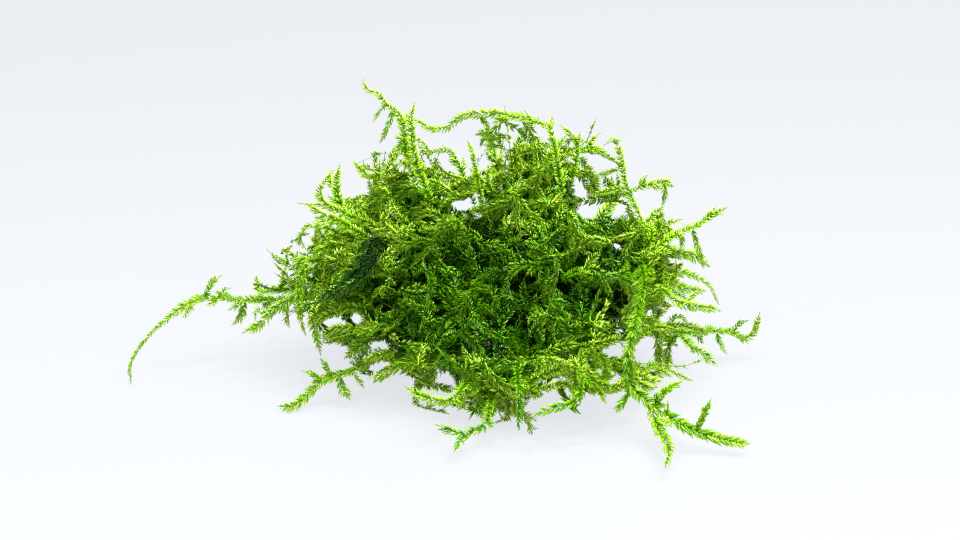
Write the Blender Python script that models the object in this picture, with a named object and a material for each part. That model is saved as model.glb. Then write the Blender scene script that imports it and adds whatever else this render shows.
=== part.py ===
"""A handful of peacock moss lying on a table: a dense tangled mound, and the leafy shoots that leave it.

The mound is one lumpy solid with a flat underside. Each shoot that stands clear of it is a solid of its own,
as long and as wide as the leafy shoot, with its small side twigs joined to it. Sizes are in millimetres until
MM turns them into metres. +X is to the right, +Y away from the viewer and +Z up, and the origin is on the
table, under the middle of the mound.
"""

import math

import bmesh
import bpy
from mathutils import Vector, noise

MM = 0.001

# The viewer, from whose place the shoots in front and at the sides are measured.
SIGHT_DISTANCE = 600.0
SIGHT_TILT = math.radians(20.0)
AIM_ACROSS = -4.0
AIM_UP = 21.0
SIGHT_RIGHT = Vector((1.0, 0.0, 0.0))
SIGHT_UP = Vector((0.0, math.sin(SIGHT_TILT), math.cos(SIGHT_TILT)))
SIGHT_AHEAD = Vector((0.0, math.cos(SIGHT_TILT), -math.sin(SIGHT_TILT)))
EYE = SIGHT_RIGHT * AIM_ACROSS + SIGHT_UP * AIM_UP - SIGHT_AHEAD * SIGHT_DISTANCE

# A shoot's solid is a flat blade with a ridge along both faces, so that its section is a diamond. Its
# thickness is a share of its width, and its points lie a step apart.
BLADE_CORNERS = 4
BLADE_THICKNESS = 0.55
BLADE_STEP = 2.8
BLADE_FACING = Vector((0.0, -0.75, 0.66)).normalized()
LEAST_HEIGHT = 0.3
TABLE_CLEARANCE = 0.02

# The gap between a shoot and what it grows from.
GAP = 0.35

# The mound is the outside of overlapping round lobes, each given by its middle and half sizes.
MOUND_MIDDLE = Vector((0.0, 0.0, 14.0))
LOBES = {
    "body": ((-2, 2, 14), (33, 25, 12)),
    "crown": ((9, 6, 25), (15.5, 18, 20.5)),
    "left_crown": ((-13, 5, 23), (17, 18, 17.5)),
    "left_shoulder": ((-21, 4, 20), (14, 16, 15)),
    "left_side": ((-28, 2, 16), (12.5, 15, 10.5)),
    "right_crown": ((14, 4, 24), (11.5, 14, 15.5)),
    "right_side": ((20.5, 2, 20.5), (13, 16, 12)),
    "front_right": ((15, -19, 8.5), (14, 11, 5)),
    "front": ((1, -16, 10), (12.5, 14.5, 10)),
    "back": ((0, 18, 10), (22, 17, 12)),
    "foot": ((-4, 2, 6), (22, 22, 9)),
}
LOBE_BLEND = 14
MOUND_SUBDIVISIONS = 5
MOUND_KEPT_FACES = 0.75
TUFT_HEIGHT = 2.6
TUFT_SPACING = 6.5
TUFT_SEED = Vector((3.0, 8.0, 1.0))

# Each point is (across, up, back, leafy width): across and up as the viewer sees it, measured from the
# origin, and back as its distance behind the origin. The first point lies in the mound, or on the shoot named
# under "from". A point seen below the table at its distance lies on the table.
SEEN_SHOOTS = {
    "left_arching_shoot": {
        "stem": [
            (-34, 16.6, 8, 2.0), (-39, 15.6, 8, 2.0), (-43.6, 15, 8, 2.0), (-49.8, 15, 7, 2.0),
            (-55.4, 15.2, 6, 1.6), (-59, 15.4, 5, 1.8), (-61.4, 14.6, 4, 2.0), (-63.8, 13.4, 3, 2.0),
            (-66.8, 11, 1, 1.2), (-69.4, 8.8, -1, 0.9), (-72.4, 5.2, -3, 0.8), (-74, 1.8, -4.5, 0.8),
            (-73.8, -1.8, -5.5, 0.6),
        ],
        "twigs": [
            [(-59, 15.4, 5, 1.4), (-57.6, 18.4, 5, 1.7), (-55.6, 20, 5.5, 0.5)],
            [(-56.4, 15.3, 6, 0.9), (-55.2, 17.2, 6, 0.8), (-53.8, 17.4, 6.5, 0.4)],
            [(-51, 15, 7, 1.6), (-51.8, 11.6, 6.5, 1.8), (-53.6, 10, 6, 0.5)],
        ],
    },
    "left_feather_shoot": {
        "stem": [
            (-34, 17.6, 0, 2.0), (-40, 15.8, -1, 2.2), (-43.2, 14.2, -2, 2.4), (-45.8, 12.8, -3, 2.4),
            (-48.2, 10, -4, 2.2), (-51.6, 8.4, -5, 0.5),
        ],
        "twigs": [
            [(-46.6, 12, -3.2, 1.4), (-48.6, 13, -3.5, 1.6), (-49, 11, -4, 0.6)],
            [(-42.4, 14.6, -1.8, 1.6), (-42.8, 11.4, -2.6, 1.4), (-42, 9.4, -3, 0.5)],
        ],
    },
    "left_star_shoot": {
        "stem": [
            (-33, 18.8, 12, 2.0), (-41, 17.2, 13, 2.2), (-45, 16.8, 13.5, 2.2), (-47.8, 16.6, 14, 2.2),
            (-48.8, 18.2, 14, 1.8), (-48.6, 20, 14, 0.5),
        ],
        "twigs": [[(-44, 17, 13.4, 1.2), (-43.4, 19.8, 13, 1.4), (-42.6, 22.4, 13, 0.5)]],
    },
    "left_upper_tip": {
        "stem": [
            (-33, 21, 4, 1.8), (-40, 21.2, 4, 1.8), (-43.2, 22.6, 4, 1.4), (-45.2, 24.2, 4, 0.5),
        ],
        "twigs": [[(-42.4, 22, 4, 1.2), (-42.8, 24.6, 3.5, 1.0), (-41.4, 26, 3.5, 0.5)]],
    },
    "left_hanging_shoot": {
        "stem": [
            (-32, 22.6, -4, 2.0), (-37.4, 22.6, -6, 2.2), (-39.6, 20, -7, 2.2), (-40.2, 16.6, -8, 2.2),
            (-40.2, 13, -8.5, 1.4), (-39.6, 10, -9, 0.8), (-38.8, 7.8, -9, 0.5),
        ],
        "twigs": [],
    },
    "left_middle_frond": {
        "stem": [(-28, 25, -3, 2.0), (-33, 25.6, -5, 2.2), (-36, 25, -6, 2.2), (-38, 23.2, -6.5, 0.5)],
        "twigs": [],
    },
    "left_drooping_shoot": {
        "stem": [
            (-32.6, 15.4, -4, 2.0), (-36.4, 13.8, -8, 2.0), (-37.6, 11, -10, 2.0), (-36.8, 8, -11, 1.8),
            (-35.8, 3.8, -12, 0.5),
        ],
        "twigs": [],
    },
    "upper_left_frond": {
        "stem": [
            (-24, 30, 4, 2.0), (-29, 31.6, 4, 2.2), (-31.6, 33.4, 3, 2.4), (-32.8, 37.8, 3, 2.2),
            (-32, 42.2, 3, 0.5),
        ],
        "twigs": [[(-32.2, 35.6, 3, 1.4), (-34, 38.4, 3.5, 1.4), (-34, 41, 4, 0.5)]],
    },
    "upper_left_side_frond": {
        "stem": [
            (-25, 29.4, -2, 2.0), (-31, 32.2, -3, 2.0), (-34.8, 34, -4, 1.8), (-36.2, 36, -4, 1.6),
            (-35.4, 38.2, -4, 1.4), (-33, 41.2, -4, 0.5),
        ],
        "twigs": [],
    },
    "upper_left_thin_shoot": {
        "stem": [
            (-24, 32.4, 10, 1.2), (-29.2, 34, 10, 1.2), (-33, 34.4, 9, 1.0), (-37, 34, 8.5, 0.9),
            (-40.6, 34.4, 8, 0.5),
        ],
        "twigs": [],
    },
    "upper_left_spray": {
        "stem": [
            (-23, 25, -2, 2.0), (-32, 30.6, -8, 2.2), (-35.4, 32, -9, 2.0), (-38.8, 34.4, -9, 0.5),
        ],
        "twigs": [],
    },
    "left_loop_shoot": {
        "stem": [
            (-28, 26.8, 0, 1.8), (-33, 28.6, -1, 1.8), (-36, 29.8, -1, 1.8), (-38.8, 29.4, -1, 1.6),
            (-40, 27.2, -1.5, 1.4), (-38.8, 25, -2, 0.5),
        ],
        "twigs": [],
    },
    "back_left_shoot": {
        "stem": [
            (-18, 31, 15, 2.0), (-24.4, 38.6, 21, 2.2), (-27, 40, 21, 2.2), (-29.4, 42.8, 21, 0.6),
        ],
        "twigs": [],
    },
    "back_left_leafy_shoot": {
        "stem": [(-18, 34, 12, 2.2), (-22, 39.6, 13, 2.8), (-23.6, 43, 13, 0.6)],
        "twigs": [],
    },
    "top_left_long_shoot": {
        "stem": [
            (-16, 35, 2, 2.0), (-17.8, 41, 1, 2.2), (-18.8, 45, 0, 2.4), (-19.2, 48.6, -1, 2.2),
            (-19.8, 51, -1, 1.8), (-20.8, 52.6, -1, 1.6), (-23, 54.2, -1.5, 1.6), (-24.4, 56.2, -2, 1.4),
            (-26.6, 57, -2, 1.0), (-27.4, 59.2, -2, 0.5),
        ],
        "twigs": [
            [(-22.8, 54, -1.5, 1.0), (-24.4, 52.2, -2, 1.0), (-25.4, 50.6, -2, 0.4)],
            [(-21.4, 53, -1.2, 1.2), (-22.4, 49.6, -2, 1.4), (-24, 46.4, -2, 0.5)],
            [(-19, 47, -1, 1.4), (-20.8, 44.4, -1.5, 1.6), (-21, 42.6, -2, 0.5)],
        ],
    },
    "top_left_frond": {
        "stem": [
            (-12, 29, 2, 2.0), (-16.6, 42, -6, 2.2), (-17.4, 46, -6, 2.4), (-17.8, 49.2, -6, 2.0),
            (-17.8, 51.6, -6, 1.4), (-17, 54.6, -6, 0.4),
        ],
        "twigs": [],
    },
    "crest_arching_shoot": {
        "stem": [
            (12.4, 36, 0, 2.0), (10.2, 48.2, -3, 2.0), (8.2, 50.2, -2, 2.0), (3.8, 51.4, 0, 2.0),
            (-2.2, 52.2, 1, 2.0), (-6.6, 52, 2, 1.8), (-8.6, 51, 2, 1.6), (-10.6, 49.4, 2.5, 1.6),
            (-13.8, 49.2, 3, 1.6), (-15.6, 50.2, 3, 1.4), (-18, 51.8, 3, 0.5),
        ],
        "twigs": [
            [(-4, 52, 1.5, 1.2), (-2.4, 49.6, 2, 1.2), (-1, 47.6, 2, 0.5)],
            [(6, 50.8, -1, 1.2), (5, 53, -1.5, 0.5)],
        ],
    },
    "crest_curling_shoot": {
        "stem": [
            (-5, 34, 7, 1.6), (-9.4, 44, 6, 1.6), (-12, 44.8, 6, 1.4), (-14, 44.4, 6.5, 1.4),
            (-15, 45.8, 7, 1.2), (-16.4, 47.6, 7, 0.5),
        ],
        "twigs": [],
    },
    "crest_short_shoot": {
        "stem": [(-3, 31, 0, 1.6), (-5.2, 42.8, -7, 1.4), (-5.8, 45, -7, 1.2), (-6.6, 47.2, -7, 0.5)],
        "twigs": [],
    },
    "crest_middle_spray": {
        "stem": [(2, 40, 5, 2.0), (3.6, 46, 5, 2.2), (5.6, 49, 5, 0.6)],
        "twigs": [],
    },
    "crest_right_leafy_shoot": {
        "stem": [(7, 40, 7, 2.2), (11, 45, 8, 2.8), (13.2, 48, 8.5, 0.6)],
        "twigs": [],
    },
    "crest_bare_stem": {
        "stem": [(3.4, 34, -1, 1.0), (2, 45, -9, 1.0), (1.4, 50, -9, 0.9), (0.8, 54, -9, 0.5)],
        "twigs": [],
    },
    "top_right_wiry_shoot": {
        "stem": [
            (14, 38, 2, 1.6), (15.2, 43, 1, 1.6), (15.4, 45.4, 1, 1.4), (15, 47.2, 1, 1.4),
            (13.6, 48.6, 1, 1.2), (12, 50, 2, 0.5),
        ],
        "twigs": [],
    },
    "top_right_spray": {
        "from": "top_right_wiry_shoot",
        "stem": [
            (15.4, 45, 1, 1.2), (17.4, 45.4, 0.5, 1.4), (18.4, 47, 0, 1.6), (20.2, 48.4, 0, 0.5),
        ],
        "twigs": [[(17.6, 45.6, 0.5, 1.2), (19.8, 44.8, 1, 1.6), (22.4, 43.4, 1, 0.5)]],
    },
    "right_crest_shoot": {
        "stem": [
            (28, 23, -1, 2.0), (30.4, 28, -3, 1.6), (28.6, 30.4, 0, 1.4), (27.2, 33.4, 2, 1.4),
            (25.8, 36.4, 4, 1.4), (25, 38.6, 4, 1.6), (24.4, 41.8, 4, 1.8), (24, 44, 4, 1.8),
            (22.8, 47, 4, 1.4), (20.8, 46, 4, 0.5),
        ],
        "twigs": [
            [(24.4, 41.2, 4, 1.2), (21.4, 40.4, 3, 1.6), (18.8, 39.4, 3, 0.5)],
            [(25.2, 37.4, 4, 1.2), (21.6, 36.8, 3, 1.8), (18.4, 36, 1, 0.5)],
            [(22.8, 46.8, 4, 1.2), (24.4, 47, 4, 0.5)],
        ],
    },
    "right_upper_frond": {
        "from": "right_crest_shoot",
        "stem": [
            (25.8, 36.4, 4, 1.2), (27.8, 37.4, 3.5, 1.6), (30.6, 38.2, 3, 2.0), (33.2, 38.6, 3, 1.8),
            (34.8, 37.6, 3, 0.5),
        ],
        "twigs": [[(32.8, 38.4, 3, 1.2), (33, 35.8, 3, 1.2), (32.4, 33.8, 3, 0.5)]],
    },
    "right_back_leafy_shoot": {
        "stem": [(17, 27, 16, 2.4), (20.6, 32, 19, 3.0), (22.6, 34.4, 20, 3.0), (24.2, 36.4, 20, 0.8)],
        "twigs": [],
    },
    "right_back_upper_shoot": {
        "stem": [
            (25, 25, 12, 2.0), (28.6, 29.6, 14, 2.2), (30.8, 32, 15, 2.2), (33, 34, 15, 0.6),
        ],
        "twigs": [],
    },
    "right_upper_leafy_shoot": {
        "stem": [(25, 25, 6, 2.2), (30.8, 28.6, 7, 2.4), (34, 30.4, 7, 2.0), (36.6, 31.2, 7, 0.6)],
        "twigs": [],
    },
    "right_side_leafy_shoot": {
        "stem": [(27, 24, 8, 2.2), (33.4, 24.8, 9, 2.8), (39, 23.6, 10, 2.4), (42, 21.6, 10, 0.6)],
        "twigs": [],
    },
    "right_rising_frond": {
        "stem": [
            (27, 22.6, -3, 2.2), (33, 26.6, -4, 2.2), (36.6, 28.8, -4, 2.2), (38.6, 29.4, -4, 2.2),
            (41.4, 31.2, -4, 2.2), (43.2, 33.8, -4, 0.6),
        ],
        "twigs": [
            [(41.8, 31.6, -4, 1.4), (43.6, 32.6, -4.5, 1.6), (45.6, 33.6, -5, 0.5)],
            [(36, 28.4, -4, 1.4), (36.4, 26.6, -4.5, 1.4), (36, 24.6, -5, 0.5)],
            [(38.6, 29.2, -4, 1.2), (39.4, 26, -4.5, 1.4), (40.4, 23.4, -5, 1.2), (40.6, 21.4, -5, 0.5)],
        ],
    },
    "right_back_drooping_shoot": {
        "stem": [
            (26, 22, 12, 2.2), (32.6, 21.6, 17, 2.4), (36.2, 20.6, 19, 2.4), (40.2, 19, 20, 1.8),
            (42, 17.6, 20, 0.9), (43, 15.6, 20, 0.8), (43.8, 14, 20, 0.5),
        ],
        "twigs": [],
    },
    "right_back_low_frond": {
        "stem": [(27, 20, 7, 2.2), (32.8, 19.6, 8, 2.4), (36.4, 17.4, 10, 2.6), (41.2, 16.8, 12, 0.8)],
        "twigs": [],
    },
    "right_middle_frond": {
        "stem": [
            (27, 19, -6, 2.2), (32.4, 16.8, -10, 2.2), (34.8, 15, -12, 2.2), (37, 14, -13, 2.2),
            (41.6, 13.4, -13, 1.8), (44.4, 12.8, -13, 0.5),
        ],
        "twigs": [[(37.4, 14, -13, 1.2), (38.4, 15.8, -12, 1.4), (39.8, 16.4, -12, 0.5)]],
    },
    "right_long_shoot": {
        "stem": [
            (24, 9.4, 0, 2.0), (31.4, 8.4, 4, 2.0), (35.2, 8.4, 5, 2.0), (39.6, 8.4, 6, 1.8),
            (42.8, 8.8, 7, 2.0), (46.6, 8.4, 8, 2.0), (48.8, 7.2, 8, 1.8), (50.6, 8.2, 8, 1.6),
            (51.4, 10.4, 8, 1.4), (52, 12.6, 8, 0.5),
        ],
        "twigs": [
            [(46.4, 8.6, 8, 1.2), (47.8, 10.2, 7, 1.4), (49.8, 11, 6, 0.5)],
            [(43.2, 8.6, 7, 1.2), (44, 6.2, 6, 1.4), (45.4, 4.2, 5, 0.5)],
            [(32.6, 8.3, 4.2, 1.2), (32, 5, 2, 1.4), (33, 2.4, 1, 0.5)],
            [(35.4, 8.4, 5, 1.2), (34.2, 10.8, 4, 1.4), (36, 11.8, 3, 1.4), (37.6, 10.4, 3, 0.5)],
        ],
    },
    "right_low_frond": {
        "from": "right_long_shoot",
        "stem": [
            (36, 8.4, 5.2, 1.4), (37, 6.8, 3, 1.8), (38.4, 5.4, 1, 2.0), (40.6, 4.6, -1, 2.0),
            (42, 3, -2, 1.6), (43.6, 1.8, -3, 0.5),
        ],
        "twigs": [],
    },
    "right_bare_stem": {
        "stem": [
            (23, 2.6, -17, 1.0), (27, 2.4, -15.5, 1.0), (31, 2.1, -12, 1.0), (34, 1.8, -9, 0.9),
            (37.4, 1.8, -8, 0.9), (41.2, 3.6, -9, 0.5),
        ],
        "twigs": [],
    },
    "right_sparse_shoot": {
        "stem": [(24, 1.6, -20, 1.0), (33.2, 1, -15, 1.0), (36.2, -0.2, -15, 1.2), (38.6, -1.2, -15, 0.5)],
        "twigs": [],
    },
    "front_right_leafy_shoot": {
        "stem": [(20, 2, -16, 2.2), (27.6, -0.4, -26, 2.6), (30.6, -1.4, -27, 2.4), (32.6, -1, -27, 0.6)],
        "twigs": [],
    },
    "front_right_thick_shoot": {
        "stem": [
            (28, 22, -6, 2.0), (28.8, 18.2, -18, 2.2), (27.6, 13, -24, 2.4), (26.6, 8.6, -28, 2.4),
            (25.6, 3.2, -31, 2.4), (26, -1.6, -32, 2.6), (28, -4, -33, 2.8), (30.6, -6, -34, 2.8),
            (34.2, -8.6, -36, 2.6), (38, -10.8, -38, 2.6), (42.6, -12.4, -39, 2.6), (47, -13.4, -40, 2.2),
            (49.8, -13.8, -41, 0.8),
        ],
        "twigs": [
            [(39.2, -11.2, -38.4, 1.4), (40.8, -7.8, -38.4, 1.4), (42.2, -4.8, -38.4, 0.5)],
            [(33.2, -8, -35.6, 1.4), (33.6, -5.4, -36, 0.6)],
            [(30.8, -6, -34, 1.6), (33.2, -3.4, -34, 1.6), (36.2, -1.4, -34, 0.5)],
            [(26.6, -2.6, -32.4, 1.6), (24.6, -5.4, -33, 1.8), (23.2, -7.4, -34, 0.5)],
        ],
    },
    "front_right_forward_shoot": {
        "from": "front_right_thick_shoot",
        "stem": [
            (30.2, -6, -34, 2.0), (31, -9, -37, 2.4), (32.2, -11.6, -40, 2.4), (33.8, -14.6, -45, 2.0),
            (33, -18.6, -54, 0.6),
        ],
        "twigs": [],
    },
    "front_loop_shoot": {
        "stem": [
            (16.6, 5, -16, 2.0), (16.2, -2, -34, 2.0), (15, -5.4, -36.5, 2.0), (10.2, -6.6, -38, 2.0),
            (6.8, -8.2, -39, 0.6),
        ],
        "twigs": [],
    },
    "front_right_sprig": {
        "stem": [
            (18, 3, -20, 2.0), (19.6, -2.8, -31, 2.0), (20.6, -4.6, -32.5, 1.6), (21.2, -5.8, -33, 0.5),
        ],
        "twigs": [],
    },
    "front_hanging_shoot": {
        "stem": [
            (3.4, 3, -26, 1.8), (3.6, -1.4, -37, 1.8), (3.8, -6, -39, 1.8), (3.8, -11, -40, 0.6),
        ],
        "twigs": [],
    },
    "front_low_shoot": {
        "stem": [
            (-1, -1, -22, 2.0), (-2.8, -9.6, -36, 2.0), (-5.6, -11.2, -38, 2.0), (-7.4, -12.4, -40, 2.0),
            (-9.2, -15.4, -45, 0.6),
        ],
        "twigs": [[(-7, -12, -39.2, 1.4), (-9.8, -11.2, -39, 1.8), (-13, -9.8, -38.4, 0.5)]],
    },
    "front_left_shoot": {
        "stem": [
            (-4, 2, -20, 2.0), (-9, -4.4, -34, 2.0), (-12, -5.2, -35, 2.0), (-16.2, -4, -34, 2.0),
            (-19.2, -2.2, -32, 0.6),
        ],
        "twigs": [],
    },
    "left_front_long_shoot": {
        "stem": [
            (-21, 5, -6, 2.0), (-25.6, 3, -14, 2.0), (-28, 1.8, -15, 2.0), (-30.2, 0.6, -16, 2.0),
            (-33.4, -0.4, -16, 2.2), (-35.8, -1.4, -16.5, 2.2), (-37.8, -3.2, -17, 2.2),
            (-39.4, -4.8, -18, 2.2), (-41.8, -6.4, -19.5, 2.2), (-44.4, -6.2, -19, 0.6),
        ],
        "twigs": [
            [(-35.6, -1.2, -16.5, 1.2), (-37.6, 0.2, -16.5, 1.4), (-39.8, 0.8, -16.5, 0.5)],
            [(-33.6, -0.4, -16, 1.2), (-34.8, 1.6, -16, 1.4), (-36, 3.4, -16, 0.5)],
            [(-32.2, 0, -16, 1.6), (-31.4, -2.8, -17, 2.4), (-30, -5, -18, 0.6)],
            [(-29.8, 0.8, -15.8, 1.2), (-28, -1.4, -16.5, 1.4), (-27.2, -2.6, -17, 0.5)],
        ],
    },
    "front_left_bare_stem": {
        "stem": [(-14, 6, -12, 1.0), (-20.4, 1.2, -24, 1.0), (-23.6, 0.4, -24, 0.9), (-26.6, -0.8, -24, 0.5)],
        "twigs": [],
    },
}

# The shoots behind the mound, with each point as (right, back, height, leafy width).
BACK_SHOOTS = {
    "back_right_arching_shoot": [
        (13, 26, 12, 2.2), (20, 36, 15, 2.2), (26, 42, 14, 2.2), (31, 47, 10, 2.0), (35, 51, 5, 1.6),
        (38, 54, 1, 0.6),
    ],
    "back_trailing_shoot": [
        (2, 30, 8, 2.2), (1, 38, 8, 2.2), (-1, 44, 5, 2.2), (0, 49, 2.5, 2.0), (3, 54, 1, 1.8),
        (4, 58, 1, 0.6),
    ],
    "back_left_trailing_shoot": [
        (-16, 24, 8, 2.2), (-22, 32, 7, 2.2), (-27, 37, 4, 2.0), (-33, 40, 1.5, 1.8), (-38, 42, 1, 0.6),
    ],
    "back_upper_frond": [
        (8, 18, 30, 2.2), (10, 26, 35, 2.2), (11, 32, 36, 2.2), (11, 37, 34, 1.8), (10, 40, 31, 0.6),
    ],
    "back_left_frond": [
        (-12, 18, 28, 2.2), (-15, 26, 32, 2.2), (-17, 31, 32, 2.0), (-20, 35, 30, 0.6),
    ],
    "back_right_low_frond": [
        (22, 12, 10, 2.2), (31, 19, 11, 2.2), (36, 23, 9, 2.0), (40, 25, 6, 0.6),
    ],
    "back_right_upper_frond": [
        (17, 11, 20, 2.2), (24, 19, 24, 2.2), (28, 24, 24, 2.0), (31, 28, 22, 0.6),
    ],
    "back_left_low_frond": [
        (-24, 13, 13, 2.2), (-32, 19, 14, 2.2), (-35, 23, 12, 2.0), (-37, 26, 9, 0.6),
    ],
    "back_crest_frond": [
        (0, 8, 38, 2.2), (-2, 16, 44, 2.2), (-3, 21, 43, 2.0), (-4, 25, 40, 0.6),
    ],
    "back_middle_sprig": [
        (-2, 24, 18, 2.2), (-3, 33, 23, 2.2), (-5, 38, 22, 1.8), (-6, 41, 20, 0.6),
    ],
}

COLOURS = {
    "mound": ((0.035, 0.10, 0.008), 0.45),
    "shoot": ((0.16, 0.36, 0.012), 0.40),
    "bare": ((0.10, 0.13, 0.02), 0.50),
}


def clear_scene():
    for obj in list(bpy.data.objects):
        bpy.data.objects.remove(obj, do_unlink=True)


def material(name, colour, roughness):
    made = bpy.data.materials.new(name)
    made.use_nodes = True
    shader = made.node_tree.nodes["Principled BSDF"]
    shader.inputs["Base Color"].default_value = (*colour, 1.0)
    shader.inputs["Roughness"].default_value = roughness
    shader.inputs["Metallic"].default_value = 0.0
    return made


def new_object(name, bm, collection, finish=None):
    mesh = bpy.data.meshes.new(name)
    bmesh.ops.recalc_face_normals(bm, faces=bm.faces)
    bm.to_mesh(mesh)
    bm.free()
    obj = bpy.data.objects.new(name, mesh)
    collection.objects.link(obj)
    if finish:
        mesh.materials.append(finish)
    else:
        obj.hide_render = True
        obj.display_type = "WIRE"
    return obj


def seen_point(across, up, back, width):
    """The place of a point that the viewer sees, and its leafy width."""
    ray = SIGHT_RIGHT * across + SIGHT_UP * up - EYE
    point = EYE + ray * ((back - EYE.y) / ray.y)
    if point.z < LEAST_HEIGHT:
        point = EYE + ray * ((LEAST_HEIGHT - EYE.z) / ray.z)
    return point, width


def back_point(right, back, height, width):
    return Vector((right, back, height)), width


def smooth_route(points):
    """Points every BLADE_STEP along a smooth curve through the given ones."""
    ends = [points[0], *points, points[-1]]
    route = []
    for before, start, end, after in zip(ends, ends[1:], ends[2:], ends[3:]):
        count = max(1, round((end[0] - start[0]).length / BLADE_STEP))
        for step in range(count):
            t = step / count
            pull = (end[0] - before[0]) * (t - 2 * t**2 + t**3) / 2
            push = (after[0] - start[0]) * (t**3 - t**2) / 2
            ease = 3 * t**2 - 2 * t**3
            route.append((start[0].lerp(end[0], ease) + pull + push, start[1] + (end[1] - start[1]) * t))
    route.append(points[-1])
    return route


def add_blade(bm, points, growth=0.0):
    """A flat tapered blade along the points, grown by so much all round."""
    route = smooth_route(points)
    rings = []
    for index, (centre, width) in enumerate(route):
        ahead = route[min(index + 1, len(route) - 1)][0] - route[max(index - 1, 0)][0]
        side = ahead.cross(BLADE_FACING).normalized()
        face = side.cross(ahead).normalized()
        half = side * (width / 2 + growth)
        deep = face * (width * BLADE_THICKNESS / 2 + growth)
        ring = [centre + half, centre + deep, centre - half, centre - deep]
        for corner in ring:
            corner.z = max(corner.z, TABLE_CLEARANCE)
        rings.append([bm.verts.new(corner * MM) for corner in ring])
    for first, second in zip(rings, rings[1:]):
        for index in range(BLADE_CORNERS):
            after = (index + 1) % BLADE_CORNERS
            bm.faces.new((first[index], first[after], second[after], second[index]))
    bm.faces.new(rings[0][::-1])
    bm.faces.new(rings[-1])


def blade_object(name, points, collection, finish=None, growth=0.0):
    bm = bmesh.new()
    add_blade(bm, points, growth)
    return new_object(name, bm, collection, finish)


def boolean(obj, operation, other):
    modifier = obj.modifiers.new(other.name, "BOOLEAN")
    modifier.operation = operation
    modifier.solver = "EXACT"
    modifier.object = other


def lobe_reach(middle, sizes, direction):
    """How far from the mound's middle a lobe's far side lies in this direction, or 0 where it is missed."""
    offset = MOUND_MIDDLE - Vector(middle)
    start = Vector(o / s for o, s in zip(offset, sizes))
    run = Vector(d / s for d, s in zip(direction, sizes))
    root = start.dot(run) ** 2 - run.dot(run) * (start.dot(start) - 1)
    return max(0.0, (math.sqrt(root) - start.dot(run)) / run.dot(run)) if root > 0 else 0.0


def mound_reach(direction):
    reach = sum(lobe_reach(*lobe, direction) ** LOBE_BLEND for lobe in LOBES.values()) ** (1 / LOBE_BLEND)
    tufts = noise.noise((MOUND_MIDDLE + direction * reach) / TUFT_SPACING + TUFT_SEED)
    return reach + TUFT_HEIGHT * tufts


def mound_object(name, collection, finish=None, growth=0.0):
    """The mound, cut off flat at the table."""
    bm = bmesh.new()
    bmesh.ops.create_icosphere(bm, subdivisions=MOUND_SUBDIVISIONS, radius=1.0)
    for vertex in bm.verts:
        direction = vertex.co.normalized()
        vertex.co = (MOUND_MIDDLE + direction * (mound_reach(direction) + growth)) * MM
    table = -growth * MM
    cut = bmesh.ops.bisect_plane(
        bm,
        geom=[*bm.verts, *bm.edges, *bm.faces],
        plane_co=(0, 0, table),
        plane_no=(0, 0, 1),
        clear_inner=True,
    )
    rim = [part for part in cut["geom_cut"] if isinstance(part, bmesh.types.BMEdge)]
    bmesh.ops.holes_fill(bm, edges=rim)
    return new_object(name, bm, collection, finish)


def build():
    clear_scene()
    parts = bpy.data.collections.new("peacock_moss")
    cutters = bpy.data.collections.new("cutters")
    cutters.hide_render = True
    bpy.context.scene.collection.children.link(parts)
    bpy.context.scene.collection.children.link(cutters)
    finishes = {name: material(name + "_moss", *look) for name, look in COLOURS.items()}

    mound = mound_object("tangled_mound", parts, finishes["mound"])
    thinner = mound.modifiers.new("fewer faces", "DECIMATE")
    thinner.ratio = MOUND_KEPT_FACES
    mound_cutter = mound_object("mound_and_gap", cutters, growth=GAP)

    shoots = {
        name: {
            "stem": [seen_point(*point) for point in shoot["stem"]],
            "twigs": [[seen_point(*point) for point in twig] for twig in shoot["twigs"]],
            "from": shoot.get("from"),
        }
        for name, shoot in SEEN_SHOOTS.items()
    }
    for name, stem in BACK_SHOOTS.items():
        shoots[name] = {"stem": [back_point(*point) for point in stem], "twigs": [], "from": None}

    for name, shoot in shoots.items():
        finish = finishes["bare" if "bare" in name else "shoot"]
        stem = blade_object(name, shoot["stem"], parts, finish)
        for number, twig in enumerate(shoot["twigs"], 1):
            boolean(stem, "UNION", blade_object(f"{name}_twig_{number}", twig, cutters))
        if shoot["from"]:
            parent = shoots[shoot["from"]]
            grown = blade_object(f"{name}_root_gap", parent["stem"], cutters, growth=GAP)
            boolean(stem, "DIFFERENCE", grown)
        else:
            boolean(stem, "DIFFERENCE", mound_cutter)


build()
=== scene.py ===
"""The looks of a handful of peacock moss: every leaf and wiry stem of the tangle and of its free shoots.

It is laid out as a Blender add-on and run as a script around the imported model. The stems follow the same
routes as the solids that they replace. Sizes are in millimetres until MM turns them into metres, +X is to the
right, +Y away from the viewer and +Z up.
"""

import math

import bmesh
import bpy
import numpy as np
from bpy.props import FloatProperty, FloatVectorProperty, IntProperty, PointerProperty
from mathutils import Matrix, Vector
from mathutils.bvhtree import BVHTree


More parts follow.
